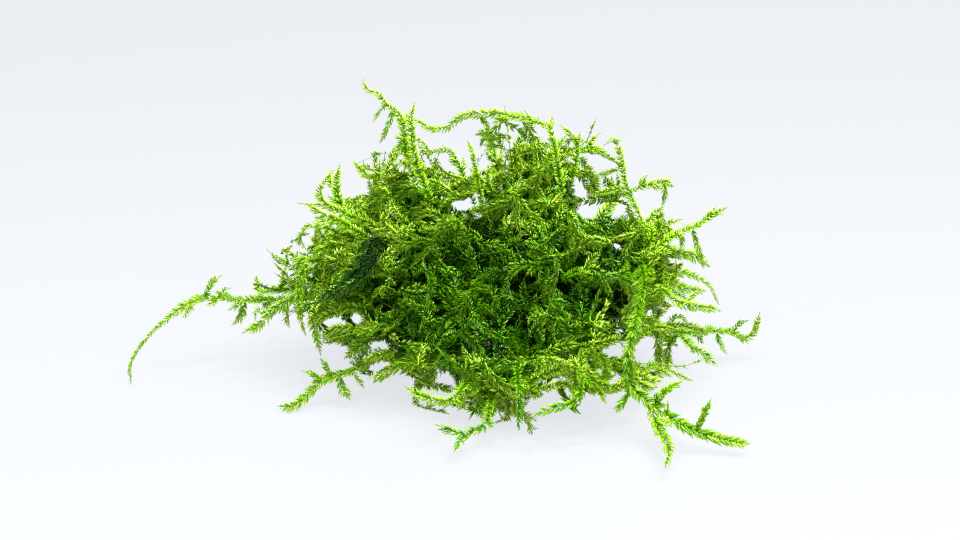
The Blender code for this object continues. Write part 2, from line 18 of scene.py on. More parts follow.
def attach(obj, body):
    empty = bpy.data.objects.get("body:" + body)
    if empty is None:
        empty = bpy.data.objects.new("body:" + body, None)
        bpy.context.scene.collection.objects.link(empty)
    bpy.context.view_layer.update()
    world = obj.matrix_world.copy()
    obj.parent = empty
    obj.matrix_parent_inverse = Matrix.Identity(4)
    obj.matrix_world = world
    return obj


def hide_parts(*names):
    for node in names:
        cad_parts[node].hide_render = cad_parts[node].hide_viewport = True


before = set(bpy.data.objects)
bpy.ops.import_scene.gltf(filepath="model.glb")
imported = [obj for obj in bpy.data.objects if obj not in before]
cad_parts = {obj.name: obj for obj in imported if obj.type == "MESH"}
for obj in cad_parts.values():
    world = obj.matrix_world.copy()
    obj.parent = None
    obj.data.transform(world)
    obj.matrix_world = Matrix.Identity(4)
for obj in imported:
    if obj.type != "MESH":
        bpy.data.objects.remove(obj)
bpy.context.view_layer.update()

bl_info = {
    "name": "Peacock Moss",
    "version": (1, 0, 0),
    "blender": (4, 5, 0),
    "location": "View3D > Sidebar > Moss",
    "description": "Grows the leaves and stems of a clump of peacock moss round its solids",
    "category": "Object",
}

MM = 0.001
BODY = "root"
MOUND_NODE = "tangled_mound"
LEAF_MATERIAL = "wet_moss_leaf"
STEM_MATERIAL = "wiry_moss_stem"

# The viewer, from whose place the routes are measured and the picture is taken.
SIGHT_DISTANCE = 600.0
SIGHT_TILT = math.radians(20.0)
AIM_ACROSS = -4.0
AIM_UP = 21.0
SIGHT_RIGHT = np.array((1.0, 0.0, 0.0))
SIGHT_UP = np.array((0.0, math.sin(SIGHT_TILT), math.cos(SIGHT_TILT)))
SIGHT_AHEAD = np.array((0.0, math.cos(SIGHT_TILT), -math.sin(SIGHT_TILT)))
EYE = SIGHT_RIGHT * AIM_ACROSS + SIGHT_UP * AIM_UP - SIGHT_AHEAD * SIGHT_DISTANCE
SENSOR_WIDTH = 36.0
PICTURE_WIDTH_AT_MOSS = 192.0
NEAREST_SEEN = 10.0

# How the leaves are set on a stem. Places and spacings are shares of the spacing along one side of it.
LEAFY = 0.96
FIRST_LEAF = 0.3
FIRST_FACE_LEAF = 0.6
FACE_LEAF_SPACING = 2.8
FACE_LEAF_SIZE = 0.8
FULL_FROND = 2.2
WIDTH_TO_LENGTH = 0.55
LEAST_SPREAD = 0.2
MOST_SPREAD = 0.78
WIDTH_LIMITS = (0.3, 2.0)
LEAST_LENGTH = 0.000001
TIP_LENGTH = 2.4
TIP_SHARE = 0.40
PLACE_SCATTER = 0.12
SIDE_SCATTER = math.radians(10)
FACE_SCATTER = math.radians(36)
TWIST_SCATTER = math.radians(13)
SPREAD_SCATTER = math.radians(5)
SIZE_SCATTER = 0.11
TONE_SCATTER = 0.09
TIP_BRIGHTENING = 0.08
# A random share of the leaves is painted brighter, as young leaves and as painted highlights where they catch
# the light.
BRIGHT_LEAF_SHARE = 0.12
BRIGHT_LEAF_TONE = 0.22

# A leaf's outline as (share of its length, share of its width), from the base to the tip, for each detail.
# The leaves of the tangle have the plainest one: three corners and a tip, widest at FAR_WIDEST.
OUTLINES = {
    "near": ((0.0, 0.0), (0.24, 1.0), (0.60, 0.68), (1.0, 0.0)),
    "middle": ((0.0, 0.0), (0.34, 1.0), (1.0, 0.0)),
}
FAR_WIDEST = 0.34
FOLD = 0.20
THICKNESS = 0.16
TIP_CURVE = 0.55

# A piece's colours follow its map: across, from old moss in painted shade to young moss, and up, first the
# stem and then the leaf from its base and midrib to its margins and tip.
UV_MAP = "OFBake"
STEM_BAND = (0.03, 0.17)
LEAF_BAND = (0.25, 0.98)
TONE_MARGIN = 0.02
MIDRIB_SHARE = 0.35
MARGIN_SHARE = 0.70

# The stems: how they are swept, and how near they come to the table.
TABLE_CLEARANCE = 0.02
LEAST_HEIGHT = 0.3
ROUTE_STEP = 0.7
STEM_CORNERS = 4
STEM_STEP = 2.4
STEM_TAPER = 0.55
WELD = 0.0001
# A stem sways like two waves, the second one weaker.
SWAY_WAVES = (5, 11)
SECOND_WAVE = 0.6

# How a side branch leaves its stem, and its leafy width along it as (places, shares).
BRANCH_ANGLES = (math.radians(42), math.radians(60))
BRANCH_CURL = 0.65
BRANCH_SAG = 0.35
BRANCH_LIFT = 0.22
BRANCH_BEND = 0.3
BRANCH_TAPER = ((0, 0.15, 0.7, 1), (0.8, 1, 0.9, 0.3))
BRANCH_FACING_SCATTER = 0.25
BRANCH_TONE_RISE = 0.08
BRANCH_THICKNESS = 0.62

# A free shoot: its leaves reach a little past the leafy width that the routes give, and its foot takes on
# the tone of the tangle.
SHOOT_FACING = np.array((0.0, -0.75, 0.66))
SHOOT_FACING_SCATTER = 0.12
SHOOT_TWIST = math.radians(28)
SHOOT_TONE_RISE = 0.08
SHOOT_TONE_SWAY = 0.05
BARE_LEAFINESS = 0.3
TWIG_THICKNESS = 0.7
FULLNESS = 1.1
FOOT_LENGTH = 16.0
FOOT_SHARE = 0.95
# Sprigs fill out the lower part of its stem.
SPRIG_START = (1, 3)
SPRIG_END = 0.62
SPRIG_SPACING = 3.0
SPRIG_SCATTER = 0.8
SPRIG_LENGTHS = (2.2, 5.0)
SPRIG_SHORTENING = 0.5
SPRIG_WIDTH = 2.1

# Where the tangle grows: the crest is sparse, and the heart is the densest.
UNDERSIDE_NORMAL = -0.75
CROWN_HEIGHT = 33.0
SPARSE_HEIGHT = 41.0
SPARSE_SHARE = 0.8
BACK_START = 10.0
BACK_SHARE = 0.75
INNER_BACK_START = 6.0
INNER_BACK_SHARE = 0.55
OUTER_DEPTHS = (0.2, 4.0)
INNER_DEPTHS = (4.5, 18.0)
INNER_LEAF_SCALE = 1.6
BACK_LEAF_SCALE = 1.2
BACK_PARTS = ("back_heart", "back_left", "back_right")
SECTORS = ("right", "back_right", "back_left", "left", "front_left", "front_right")
SPREAD_TRIES = 10

# How a line grows through the mound: it wanders, is steered to the depth that is wanted, and turns level
# near the table.
GROWTH_STEP = 1.2
TURN_KEPT = 0.75
WANDER = 0.24
STEER = 0.10
MOST_STEER = 0.5
TURN_HEIGHT = 1.5
TURNED_LEVEL = (1, 1, 0.1)
TURNED_UP = (0, 0, 0.02)

# A spray of the tangle flows outwards and down. It grows both ways from its middle: its back end goes
# deeper, and its tip rises out of the surface, less so on the crown.
SPRAY_LENGTHS = (0.6, 1.35)
OUTWARD_REACH = 30.0
SINKING = 0.35
FLOW = 0.7
LEAST_MIDDLE_HEIGHT = 1.0
BACK_LENGTH = 0.45
BACK_DEEPENING = 5
FRONT_LENGTH = 0.55
SURFACE_DEPTH = 0.5
RISES = (0.5, 3.5)
CROWN_RISES = (0, 1.2)
LEAST_POINTS = 5
SPRAY_TAPER = ((0, 0.1, 0.75, 1), (0.7, 1, 0.9, 0.25))
SPRAY_TONE_SCATTER = 0.09
SPRAY_TONES = (-0.05, 0.10)
SPRAY_FACING_SCATTER = 0.5
SPRAY_TWIST = math.radians(30)
SPRAY_THICKNESS = 0.85
# Its branches get shorter towards its tip, and the long ones have twigs of their own.
FIRST_BRANCH = (1.0, 3.0)
LAST_BRANCH = 1.2
LONGEST_BRANCHES = (5.0, 9.0)
BRANCH_SHORTENING = 0.72
BRANCH_LENGTHS = (0.6, 1.15)
BRANCH_SPACINGS = (0.7, 1.3)
LEAST_BRANCH = 1.6
BRANCH_WIDTH = 1.9
TWIGGED_LENGTH = 5.0
TWIG_START = 1.6
TWIG_END = 1.5
TWIG_SPACING = 2.3
TWIG_SHARES = (0.3, 0.55)
LEAST_TWIG = 1.2
TWIG_WIDTH = 1.6

# An old stem that comes out of the tangle and lies over it.
WIRY_DEPTHS = (1.5, -2.0)
WIRY_LENGTHS = (14, 30)
WIRY_WIDTH = 1.0
WIRY_TONE = 0.2
WIRY_THICKNESS = 0.95
WIRY_LEAFINESS = 0.14

# The clump is painted darkest round this place, as older moss and as painted shade where it is thickest, and
# young moss covers it beyond.
HEART = np.array((1.0, -15.0, 22.0))
HEART_REACH = np.array((26.0, 26.0, 14.0))
HEART_EDGE = 0.45
HEART_FADE = 0.85
HEART_TONE = 0.40
RIM_TONE = 0.79
# Its tone is a little higher to the right and low in front.
RIGHT_GAIN = 0.05
RIGHT_REACH = 40.0
FRONT_GAIN = 0.08
FRONT_START = 15.0
# Moss that lies this far below the surface gets no light: its tone is lowered as painted shade, and as older
# moss too.
SHADE_START = 0.8
SHADE_DEPTH = 4.0
SHADE_SHARE = 0.80
# The bright table lights the lowest moss from below: the painted shade is weaker there, as painted light.
LIT_HEIGHTS = (3.0, 12.0)
LIT_SHARE = 0.4

# The leaf's colours lie at these places from old to young. A leaf is painted greener and darker at its base
# than at its tip, as painted shade where the leaves overlap, by LEAF_TONE_RISE of that range and between
# LEAF_SHADES of the colour's brightness.
LEAF_AGES = (0.0, 0.35, 0.7, 1.0)
LEAF_TONE_RISE = 0.45
LEAF_TONE_MIDDLE = 0.62
LEAF_SHADES = (0.42, 1.25)
# Light that comes through a leaf is paler than what its face throws back, by these powers of its colour.
THROUGH_GAMMA = 0.8
FACE_GAMMA = 1.25
THROUGH_SHARE = 0.7
# The film of water on the leaves, and the most that it mirrors where the leaves around it hide the rest.
FILM_COLOUR = (1.0, 1.0, 0.92, 1.0)
FILM_IOR = 1.36
FILM_ROUGHNESS = 0.18
MOST_FILM = 0.06
STEM_ROUGHNESS = 0.6
STEM_SHINE = 0.05

# The stage. The glow of the table fades from its front to its back, between these places along +Y.
TABLE_ROUGHNESS = 0.6
GLOW_COLOUR = "#F7FAFF"
GLOW_FADE = (-80.0, 220.0)
GLOW_LOSS = 0.10
SKY_COLOUR = "#FAFCFF"
SHARP_FILTER = 1.15
# The lights, in metres, all turned to the middle of the clump.
LIGHT_AIM = (0, 0, 0.015)
SOFT_SIZE = (0.8, 0.5)
SOFT_PLACE = (0.2, -0.2, 0.88)
KEY_SIZE = (0.05, 0.05)
KEY_PLACES = (
    (-0.2, -0.3, 0.8), (0.3, -0.15, 0.75), (-0.1, 0.2, 0.85), (0.12, -0.5, 0.62), (-0.45, 0.0, 0.66),
    (0.5, 0.1, 0.6), (-0.3, -0.55, 0.5), (0.4, -0.5, 0.5),
)

# The routes of the free shoots, as their solids have them. Each shoot is its stem and then its side twigs,
# and each of these is a list of points (across, up, back, leafy width): across and up as the viewer sees
# it, measured from the origin, and back as its distance behind the origin. A stem starts in the mound or on
# another shoot. A point seen below the table at its distance lies on the table.
SEEN_SHOOTS = {
    "left_arching_shoot": (
        [(-34, 16.6, 8, 2), (-39, 15.6, 8, 2), (-43.6, 15, 8, 2), (-49.8, 15, 7, 2), (-55.4, 15.2, 6, 1.6),
         (-59, 15.4, 5, 1.8), (-61.4, 14.6, 4, 2), (-63.8, 13.4, 3, 2), (-66.8, 11, 1, 1.2),
         (-69.4, 8.8, -1, 0.9), (-72.4, 5.2, -3, 0.8), (-74, 1.8, -4.5, 0.8), (-73.8, -1.8, -5.5, 0.6)],
        [(-59, 15.4, 5, 1.4), (-57.6, 18.4, 5, 1.7), (-55.6, 20, 5.5, 0.5)],
        [(-56.4, 15.3, 6, 0.9), (-55.2, 17.2, 6, 0.8), (-53.8, 17.4, 6.5, 0.4)],
        [(-51, 15, 7, 1.6), (-51.8, 11.6, 6.5, 1.8), (-53.6, 10, 6, 0.5)],
    ),
    "left_feather_shoot": (
        [(-34, 17.6, 0, 2), (-40, 15.8, -1, 2.2), (-43.2, 14.2, -2, 2.4), (-45.8, 12.8, -3, 2.4),
         (-48.2, 10, -4, 2.2), (-51.6, 8.4, -5, 0.5)],
        [(-46.6, 12, -3.2, 1.4), (-48.6, 13, -3.5, 1.6), (-49, 11, -4, 0.6)],
        [(-42.4, 14.6, -1.8, 1.6), (-42.8, 11.4, -2.6, 1.4), (-42, 9.4, -3, 0.5)],
    ),
    "left_star_shoot": (
        [(-33, 18.8, 12, 2), (-41, 17.2, 13, 2.2), (-45, 16.8, 13.5, 2.2), (-47.8, 16.6, 14, 2.2),
         (-48.8, 18.2, 14, 1.8), (-48.6, 20, 14, 0.5)],
        [(-44, 17, 13.4, 1.2), (-43.4, 19.8, 13, 1.4), (-42.6, 22.4, 13, 0.5)],
    ),
    "left_upper_tip": (
        [(-33, 21, 4, 1.8), (-40, 21.2, 4, 1.8), (-43.2, 22.6, 4, 1.4), (-45.2, 24.2, 4, 0.5)],
        [(-42.4, 22, 4, 1.2), (-42.8, 24.6, 3.5, 1), (-41.4, 26, 3.5, 0.5)],
    ),
    "left_hanging_shoot": (
        [(-32, 22.6, -4, 2), (-37.4, 22.6, -6, 2.2), (-39.6, 20, -7, 2.2), (-40.2, 16.6, -8, 2.2),
         (-40.2, 13, -8.5, 1.4), (-39.6, 10, -9, 0.8), (-38.8, 7.8, -9, 0.5)],
    ),
    "left_middle_frond": (
        [(-28, 25, -3, 2), (-33, 25.6, -5, 2.2), (-36, 25, -6, 2.2), (-38, 23.2, -6.5, 0.5)],
    ),
    "left_drooping_shoot": (
        [(-32.6, 15.4, -4, 2), (-36.4, 13.8, -8, 2), (-37.6, 11, -10, 2), (-36.8, 8, -11, 1.8),
         (-35.8, 3.8, -12, 0.5)],
    ),
    "upper_left_frond": (
        [(-24, 30, 4, 2), (-29, 31.6, 4, 2.2), (-31.6, 33.4, 3, 2.4), (-32.8, 37.8, 3, 2.2),
         (-32, 42.2, 3, 0.5)],
        [(-32.2, 35.6, 3, 1.4), (-34, 38.4, 3.5, 1.4), (-34, 41, 4, 0.5)],
    ),
    "upper_left_side_frond": (
        [(-25, 29.4, -2, 2), (-31, 32.2, -3, 2), (-34.8, 34, -4, 1.8), (-36.2, 36, -4, 1.6),
         (-35.4, 38.2, -4, 1.4), (-33, 41.2, -4, 0.5)],
    ),
    "upper_left_thin_shoot": (
        [(-24, 32.4, 10, 1.2), (-29.2, 34, 10, 1.2), (-33, 34.4, 9, 1), (-37, 34, 8.5, 0.9),
         (-40.6, 34.4, 8, 0.5)],
    ),
    "upper_left_spray": (
        [(-23, 25, -2, 2), (-32, 30.6, -8, 2.2), (-35.4, 32, -9, 2), (-38.8, 34.4, -9, 0.5)],
    ),
    "left_loop_shoot": (
        [(-28, 26.8, 0, 1.8), (-33, 28.6, -1, 1.8), (-36, 29.8, -1, 1.8), (-38.8, 29.4, -1, 1.6),
         (-40, 27.2, -1.5, 1.4), (-38.8, 25, -2, 0.5)],
    ),
    "back_left_shoot": (
        [(-18, 31, 15, 2), (-24.4, 38.6, 21, 2.2), (-27, 40, 21, 2.2), (-29.4, 42.8, 21, 0.6)],
    ),
    "back_left_leafy_shoot": (
        [(-18, 34, 12, 2.2), (-22, 39.6, 13, 2.8), (-23.6, 43, 13, 0.6)],
    ),
    "top_left_long_shoot": (
        [(-16, 35, 2, 2), (-17.8, 41, 1, 2.2), (-18.8, 45, 0, 2.4), (-19.2, 48.6, -1, 2.2),
         (-19.8, 51, -1, 1.8), (-20.8, 52.6, -1, 1.6), (-23, 54.2, -1.5, 1.6), (-24.4, 56.2, -2, 1.4),
         (-26.6, 57, -2, 1), (-27.4, 59.2, -2, 0.5)],
        [(-22.8, 54, -1.5, 1), (-24.4, 52.2, -2, 1), (-25.4, 50.6, -2, 0.4)],
        [(-21.4, 53, -1.2, 1.2), (-22.4, 49.6, -2, 1.4), (-24, 46.4, -2, 0.5)],
        [(-19, 47, -1, 1.4), (-20.8, 44.4, -1.5, 1.6), (-21, 42.6, -2, 0.5)],
    ),
    "top_left_frond": (
        [(-12, 29, 2, 2), (-16.6, 42, -6, 2.2), (-17.4, 46, -6, 2.4), (-17.8, 49.2, -6, 2),
         (-17.8, 51.6, -6, 1.4), (-17, 54.6, -6, 0.4)],
    ),
    "crest_arching_shoot": (
        [(12.4, 36, 0, 2), (10.2, 48.2, -3, 2), (8.2, 50.2, -2, 2), (3.8, 51.4, 0, 2), (-2.2, 52.2, 1, 2),
         (-6.6, 52, 2, 1.8), (-8.6, 51, 2, 1.6), (-10.6, 49.4, 2.5, 1.6), (-13.8, 49.2, 3, 1.6),
         (-15.6, 50.2, 3, 1.4), (-18, 51.8, 3, 0.5)],
        [(-4, 52, 1.5, 1.2), (-2.4, 49.6, 2, 1.2), (-1, 47.6, 2, 0.5)],
        [(6, 50.8, -1, 1.2), (5, 53, -1.5, 0.5)],
    ),
    "crest_curling_shoot": (
        [(-5, 34, 7, 1.6), (-9.4, 44, 6, 1.6), (-12, 44.8, 6, 1.4), (-14, 44.4, 6.5, 1.4),
         (-15, 45.8, 7, 1.2), (-16.4, 47.6, 7, 0.5)],
    ),
    "crest_short_shoot": (
        [(-3, 31, 0, 1.6), (-5.2, 42.8, -7, 1.4), (-5.8, 45, -7, 1.2), (-6.6, 47.2, -7, 0.5)],
    ),
    "crest_middle_spray": (
        [(2, 40, 5, 2), (3.6, 46, 5, 2.2), (5.6, 49, 5, 0.6)],
    ),
    "crest_right_leafy_shoot": (
        [(7, 40, 7, 2.2), (11, 45, 8, 2.8), (13.2, 48, 8.5, 0.6)],
    ),
    "crest_bare_stem": (
        [(3.4, 34, -1, 1), (2, 45, -9, 1), (1.4, 50, -9, 0.9), (0.8, 54, -9, 0.5)],
    ),
    "top_right_wiry_shoot": (
        [(14, 38, 2, 1.6), (15.2, 43, 1, 1.6), (15.4, 45.4, 1, 1.4), (15, 47.2, 1, 1.4), (13.6, 48.6, 1, 1.2),
         (12, 50, 2, 0.5)],
    ),
    "top_right_spray": (
        [(15.4, 45, 1, 1.2), (17.4, 45.4, 0.5, 1.4), (18.4, 47, 0, 1.6), (20.2, 48.4, 0, 0.5)],
        [(17.6, 45.6, 0.5, 1.2), (19.8, 44.8, 1, 1.6), (22.4, 43.4, 1, 0.5)],
    ),
    "right_crest_shoot": (
        [(28, 23, -1, 2), (30.4, 28, -3, 1.6), (28.6, 30.4, 0, 1.4), (27.2, 33.4, 2, 1.4),
         (25.8, 36.4, 4, 1.4), (25, 38.6, 4, 1.6), (24.4, 41.8, 4, 1.8), (24, 44, 4, 1.8), (22.8, 47, 4, 1.4),
         (20.8, 46, 4, 0.5)],
        [(24.4, 41.2, 4, 1.2), (21.4, 40.4, 3, 1.6), (18.8, 39.4, 3, 0.5)],
        [(25.2, 37.4, 4, 1.2), (21.6, 36.8, 3, 1.8), (18.4, 36, 1, 0.5)],
        [(22.8, 46.8, 4, 1.2), (24.4, 47, 4, 0.5)],
    ),
    "right_upper_frond": (
        [(25.8, 36.4, 4, 1.2), (27.8, 37.4, 3.5, 1.6), (30.6, 38.2, 3, 2), (33.2, 38.6, 3, 1.8),
         (34.8, 37.6, 3, 0.5)],
        [(32.8, 38.4, 3, 1.2), (33, 35.8, 3, 1.2), (32.4, 33.8, 3, 0.5)],
    ),
    "right_back_leafy_shoot": (
        [(17, 27, 16, 2.4), (20.6, 32, 19, 3), (22.6, 34.4, 20, 3), (24.2, 36.4, 20, 0.8)],
    ),
    "right_back_upper_shoot": (
        [(25, 25, 12, 2), (28.6, 29.6, 14, 2.2), (30.8, 32, 15, 2.2), (33, 34, 15, 0.6)],
    ),
    "right_upper_leafy_shoot": (
        [(25, 25, 6, 2.2), (30.8, 28.6, 7, 2.4), (34, 30.4, 7, 2), (36.6, 31.2, 7, 0.6)],
    ),
    "right_side_leafy_shoot": (
        [(27, 24, 8, 2.2), (33.4, 24.8, 9, 2.8), (39, 23.6, 10, 2.4), (42, 21.6, 10, 0.6)],
    ),
    "right_rising_frond": (
        [(27, 22.6, -3, 2.2), (33, 26.6, -4, 2.2), (36.6, 28.8, -4, 2.2), (38.6, 29.4, -4, 2.2),
         (41.4, 31.2, -4, 2.2), (43.2, 33.8, -4, 0.6)],
        [(41.8, 31.6, -4, 1.4), (43.6, 32.6, -4.5, 1.6), (45.6, 33.6, -5, 0.5)],
        [(36, 28.4, -4, 1.4), (36.4, 26.6, -4.5, 1.4), (36, 24.6, -5, 0.5)],
        [(38.6, 29.2, -4, 1.2), (39.4, 26, -4.5, 1.4), (40.4, 23.4, -5, 1.2), (40.6, 21.4, -5, 0.5)],
    ),
    "right_back_drooping_shoot": (
        [(26, 22, 12, 2.2), (32.6, 21.6, 17, 2.4), (36.2, 20.6, 19, 2.4), (40.2, 19, 20, 1.8),
         (42, 17.6, 20, 0.9), (43, 15.6, 20, 0.8), (43.8, 14, 20, 0.5)],
    ),
    "right_back_low_frond": (
        [(27, 20, 7, 2.2), (32.8, 19.6, 8, 2.4), (36.4, 17.4, 10, 2.6), (41.2, 16.8, 12, 0.8)],
    ),
    "right_middle_frond": (
        [(27, 19, -6, 2.2), (32.4, 16.8, -10, 2.2), (34.8, 15, -12, 2.2), (37, 14, -13, 2.2),
         (41.6, 13.4, -13, 1.8), (44.4, 12.8, -13, 0.5)],
        [(37.4, 14, -13, 1.2), (38.4, 15.8, -12, 1.4), (39.8, 16.4, -12, 0.5)],
    ),
    "right_long_shoot": (
        [(24, 9.4, 0, 2), (31.4, 8.4, 4, 2), (35.2, 8.4, 5, 2), (39.6, 8.4, 6, 1.8), (42.8, 8.8, 7, 2),
         (46.6, 8.4, 8, 2), (48.8, 7.2, 8, 1.8), (50.6, 8.2, 8, 1.6), (51.4, 10.4, 8, 1.4),
         (52, 12.6, 8, 0.5)],
        [(46.4, 8.6, 8, 1.2), (47.8, 10.2, 7, 1.4), (49.8, 11, 6, 0.5)],
        [(43.2, 8.6, 7, 1.2), (44, 6.2, 6, 1.4), (45.4, 4.2, 5, 0.5)],
        [(32.6, 8.3, 4.2, 1.2), (32, 5, 2, 1.4), (33, 2.4, 1, 0.5)],
        [(35.4, 8.4, 5, 1.2), (34.2, 10.8, 4, 1.4), (36, 11.8, 3, 1.4), (37.6, 10.4, 3, 0.5)],
    ),
    "right_low_frond": (
        [(36, 8.4, 5.2, 1.4), (37, 6.8, 3, 1.8), (38.4, 5.4, 1, 2), (40.6, 4.6, -1, 2), (42, 3, -2, 1.6),
         (43.6, 1.8, -3, 0.5)],
    ),
    "right_bare_stem": (
        [(23, 2.6, -17, 1), (27, 2.4, -15.5, 1), (31, 2.1, -12, 1), (34, 1.8, -9, 0.9), (37.4, 1.8, -8, 0.9),
         (41.2, 3.6, -9, 0.5)],
    ),
    "right_sparse_shoot": (
        [(24, 1.6, -20, 1), (33.2, 1, -15, 1), (36.2, -0.2, -15, 1.2), (38.6, -1.2, -15, 0.5)],
    ),
    "front_right_leafy_shoot": (
        [(20, 2, -16, 2.2), (27.6, -0.4, -26, 2.6), (30.6, -1.4, -27, 2.4), (32.6, -1, -27, 0.6)],
    ),
    "front_right_thick_shoot": (
        [(28, 22, -6, 2), (28.8, 18.2, -18, 2.2), (27.6, 13, -24, 2.4), (26.6, 8.6, -28, 2.4),
         (25.6, 3.2, -31, 2.4), (26, -1.6, -32, 2.6), (28, -4, -33, 2.8), (30.6, -6, -34, 2.8),
         (34.2, -8.6, -36, 2.6), (38, -10.8, -38, 2.6), (42.6, -12.4, -39, 2.6), (47, -13.4, -40, 2.2),
         (49.8, -13.8, -41, 0.8)],
        [(39.2, -11.2, -38.4, 1.4), (40.8, -7.8, -38.4, 1.4), (42.2, -4.8, -38.4, 0.5)],
        [(33.2, -8, -35.6, 1.4), (33.6, -5.4, -36, 0.6)],
        [(30.8, -6, -34, 1.6), (33.2, -3.4, -34, 1.6), (36.2, -1.4, -34, 0.5)],
        [(26.6, -2.6, -32.4, 1.6), (24.6, -5.4, -33, 1.8), (23.2, -7.4, -34, 0.5)],
    ),
    "front_right_forward_shoot": (
        [(30.2, -6, -34, 2), (31, -9, -37, 2.4), (32.2, -11.6, -40, 2.4), (33.8, -14.6, -45, 2),
         (33, -18.6, -54, 0.6)],
    ),
    "front_loop_shoot": (
        [(16.6, 5, -16, 2), (16.2, -2, -34, 2), (15, -5.4, -36.5, 2), (10.2, -6.6, -38, 2),
         (6.8, -8.2, -39, 0.6)],
    ),
    "front_right_sprig": (
        [(18, 3, -20, 2), (19.6, -2.8, -31, 2), (20.6, -4.6, -32.5, 1.6), (21.2, -5.8, -33, 0.5)],
    ),
    "front_hanging_shoot": (
        [(3.4, 3, -26, 1.8), (3.6, -1.4, -37, 1.8), (3.8, -6, -39, 1.8), (3.8, -11, -40, 0.6)],
    ),
    "front_low_shoot": (
        [(-1, -1, -22, 2), (-2.8, -9.6, -36, 2), (-5.6, -11.2, -38, 2), (-7.4, -12.4, -40, 2),
         (-9.2, -15.4, -45, 0.6)],
        [(-7, -12, -39.2, 1.4), (-9.8, -11.2, -39, 1.8), (-13, -9.8, -38.4, 0.5)],
    ),
    "front_left_shoot": (
        [(-4, 2, -20, 2), (-9, -4.4, -34, 2), (-12, -5.2, -35, 2), (-16.2, -4, -34, 2),
         (-19.2, -2.2, -32, 0.6)],
    ),
    "left_front_long_shoot": (
        [(-21, 5, -6, 2), (-25.6, 3, -14, 2), (-28, 1.8, -15, 2), (-30.2, 0.6, -16, 2),
         (-33.4, -0.4, -16, 2.2), (-35.8, -1.4, -16.5, 2.2), (-37.8, -3.2, -17, 2.2), (-39.4, -4.8, -18, 2.2),
         (-41.8, -6.4, -19.5, 2.2), (-44.4, -6.2, -19, 0.6)],
        [(-35.6, -1.2, -16.5, 1.2), (-37.6, 0.2, -16.5, 1.4), (-39.8, 0.8, -16.5, 0.5)],
        [(-33.6, -0.4, -16, 1.2), (-34.8, 1.6, -16, 1.4), (-36, 3.4, -16, 0.5)],
        [(-32.2, 0, -16, 1.6), (-31.4, -2.8, -17, 2.4), (-30, -5, -18, 0.6)],
        [(-29.8, 0.8, -15.8, 1.2), (-28, -1.4, -16.5, 1.4), (-27.2, -2.6, -17, 0.5)],
    ),
    "front_left_bare_stem": (
        [(-14, 6, -12, 1), (-20.4, 1.2, -24, 1), (-23.6, 0.4, -24, 0.9), (-26.6, -0.8, -24, 0.5)],
    ),
}

# The shoots behind the mound are stems without twigs, with points (right, back, height, leafy width).
BACK_SHOOTS = {
    "back_right_arching_shoot": [
        (13, 26, 12, 2.2), (20, 36, 15, 2.2), (26, 42, 14, 2.2), (31, 47, 10, 2), (35, 51, 5, 1.6),
        (38, 54, 1, 0.6),
    ],
    "back_trailing_shoot": [
        (2, 30, 8, 2.2), (1, 38, 8, 2.2), (-1, 44, 5, 2.2), (0, 49, 2.5, 2), (3, 54, 1, 1.8), (4, 58, 1, 0.6),
    ],
    "back_left_trailing_shoot": [
        (-16, 24, 8, 2.2), (-22, 32, 7, 2.2), (-27, 37, 4, 2), (-33, 40, 1.5, 1.8), (-38, 42, 1, 0.6),
    ],
    "back_upper_frond": [
        (8, 18, 30, 2.2), (10, 26, 35, 2.2), (11, 32, 36, 2.2), (11, 37, 34, 1.8), (10, 40, 31, 0.6),
    ],
    "back_left_frond": [
        (-12, 18, 28, 2.2), (-15, 26, 32, 2.2), (-17, 31, 32, 2), (-20, 35, 30, 0.6),
    ],
    "back_right_low_frond": [
        (22, 12, 10, 2.2), (31, 19, 11, 2.2), (36, 23, 9, 2), (40, 25, 6, 0.6),
    ],
    "back_right_upper_frond": [
        (17, 11, 20, 2.2), (24, 19, 24, 2.2), (28, 24, 24, 2), (31, 28, 22, 0.6),
    ],
    "back_left_low_frond": [
        (-24, 13, 13, 2.2), (-32, 19, 14, 2.2), (-35, 23, 12, 2), (-37, 26, 9, 0.6),
    ],
    "back_crest_frond": [
        (0, 8, 38, 2.2), (-2, 16, 44, 2.2), (-3, 21, 43, 2), (-4, 25, 40, 0.6),
    ],
    "back_middle_sprig": [
        (-2, 24, 18, 2.2), (-3, 33, 23, 2.2), (-5, 38, 22, 1.8), (-6, 41, 20, 0.6),
    ],
}

# Shoots that differ from the usual young green: their tone, from 0, old and dark, to 1, young and lime.
SHOOT_TONES = {
    "front_hanging_shoot": 0.46,
    "front_low_shoot": 0.62,
    "front_loop_shoot": 0.66,
    "front_right_thick_shoot": 0.72,
}
USUAL_TONE = 0.80
BACK_TONE = 0.60
# Shoots near the viewer, whose leaves are drawn with the finest outline.
NEAR_SHOOTS = ("front_right_thick_shoot", "left_arching_shoot", "right_long_shoot", "left_front_long_shoot")
# Shoots with leaves above the usual size.
SHOOT_SCALES = {
    "front_right_thick_shoot": 1.25,
    "front_right_forward_shoot": 1.2,
    "front_hanging_shoot": 1.15,
    "front_low_shoot": 1.15,
    "front_loop_shoot": 1.15,
}

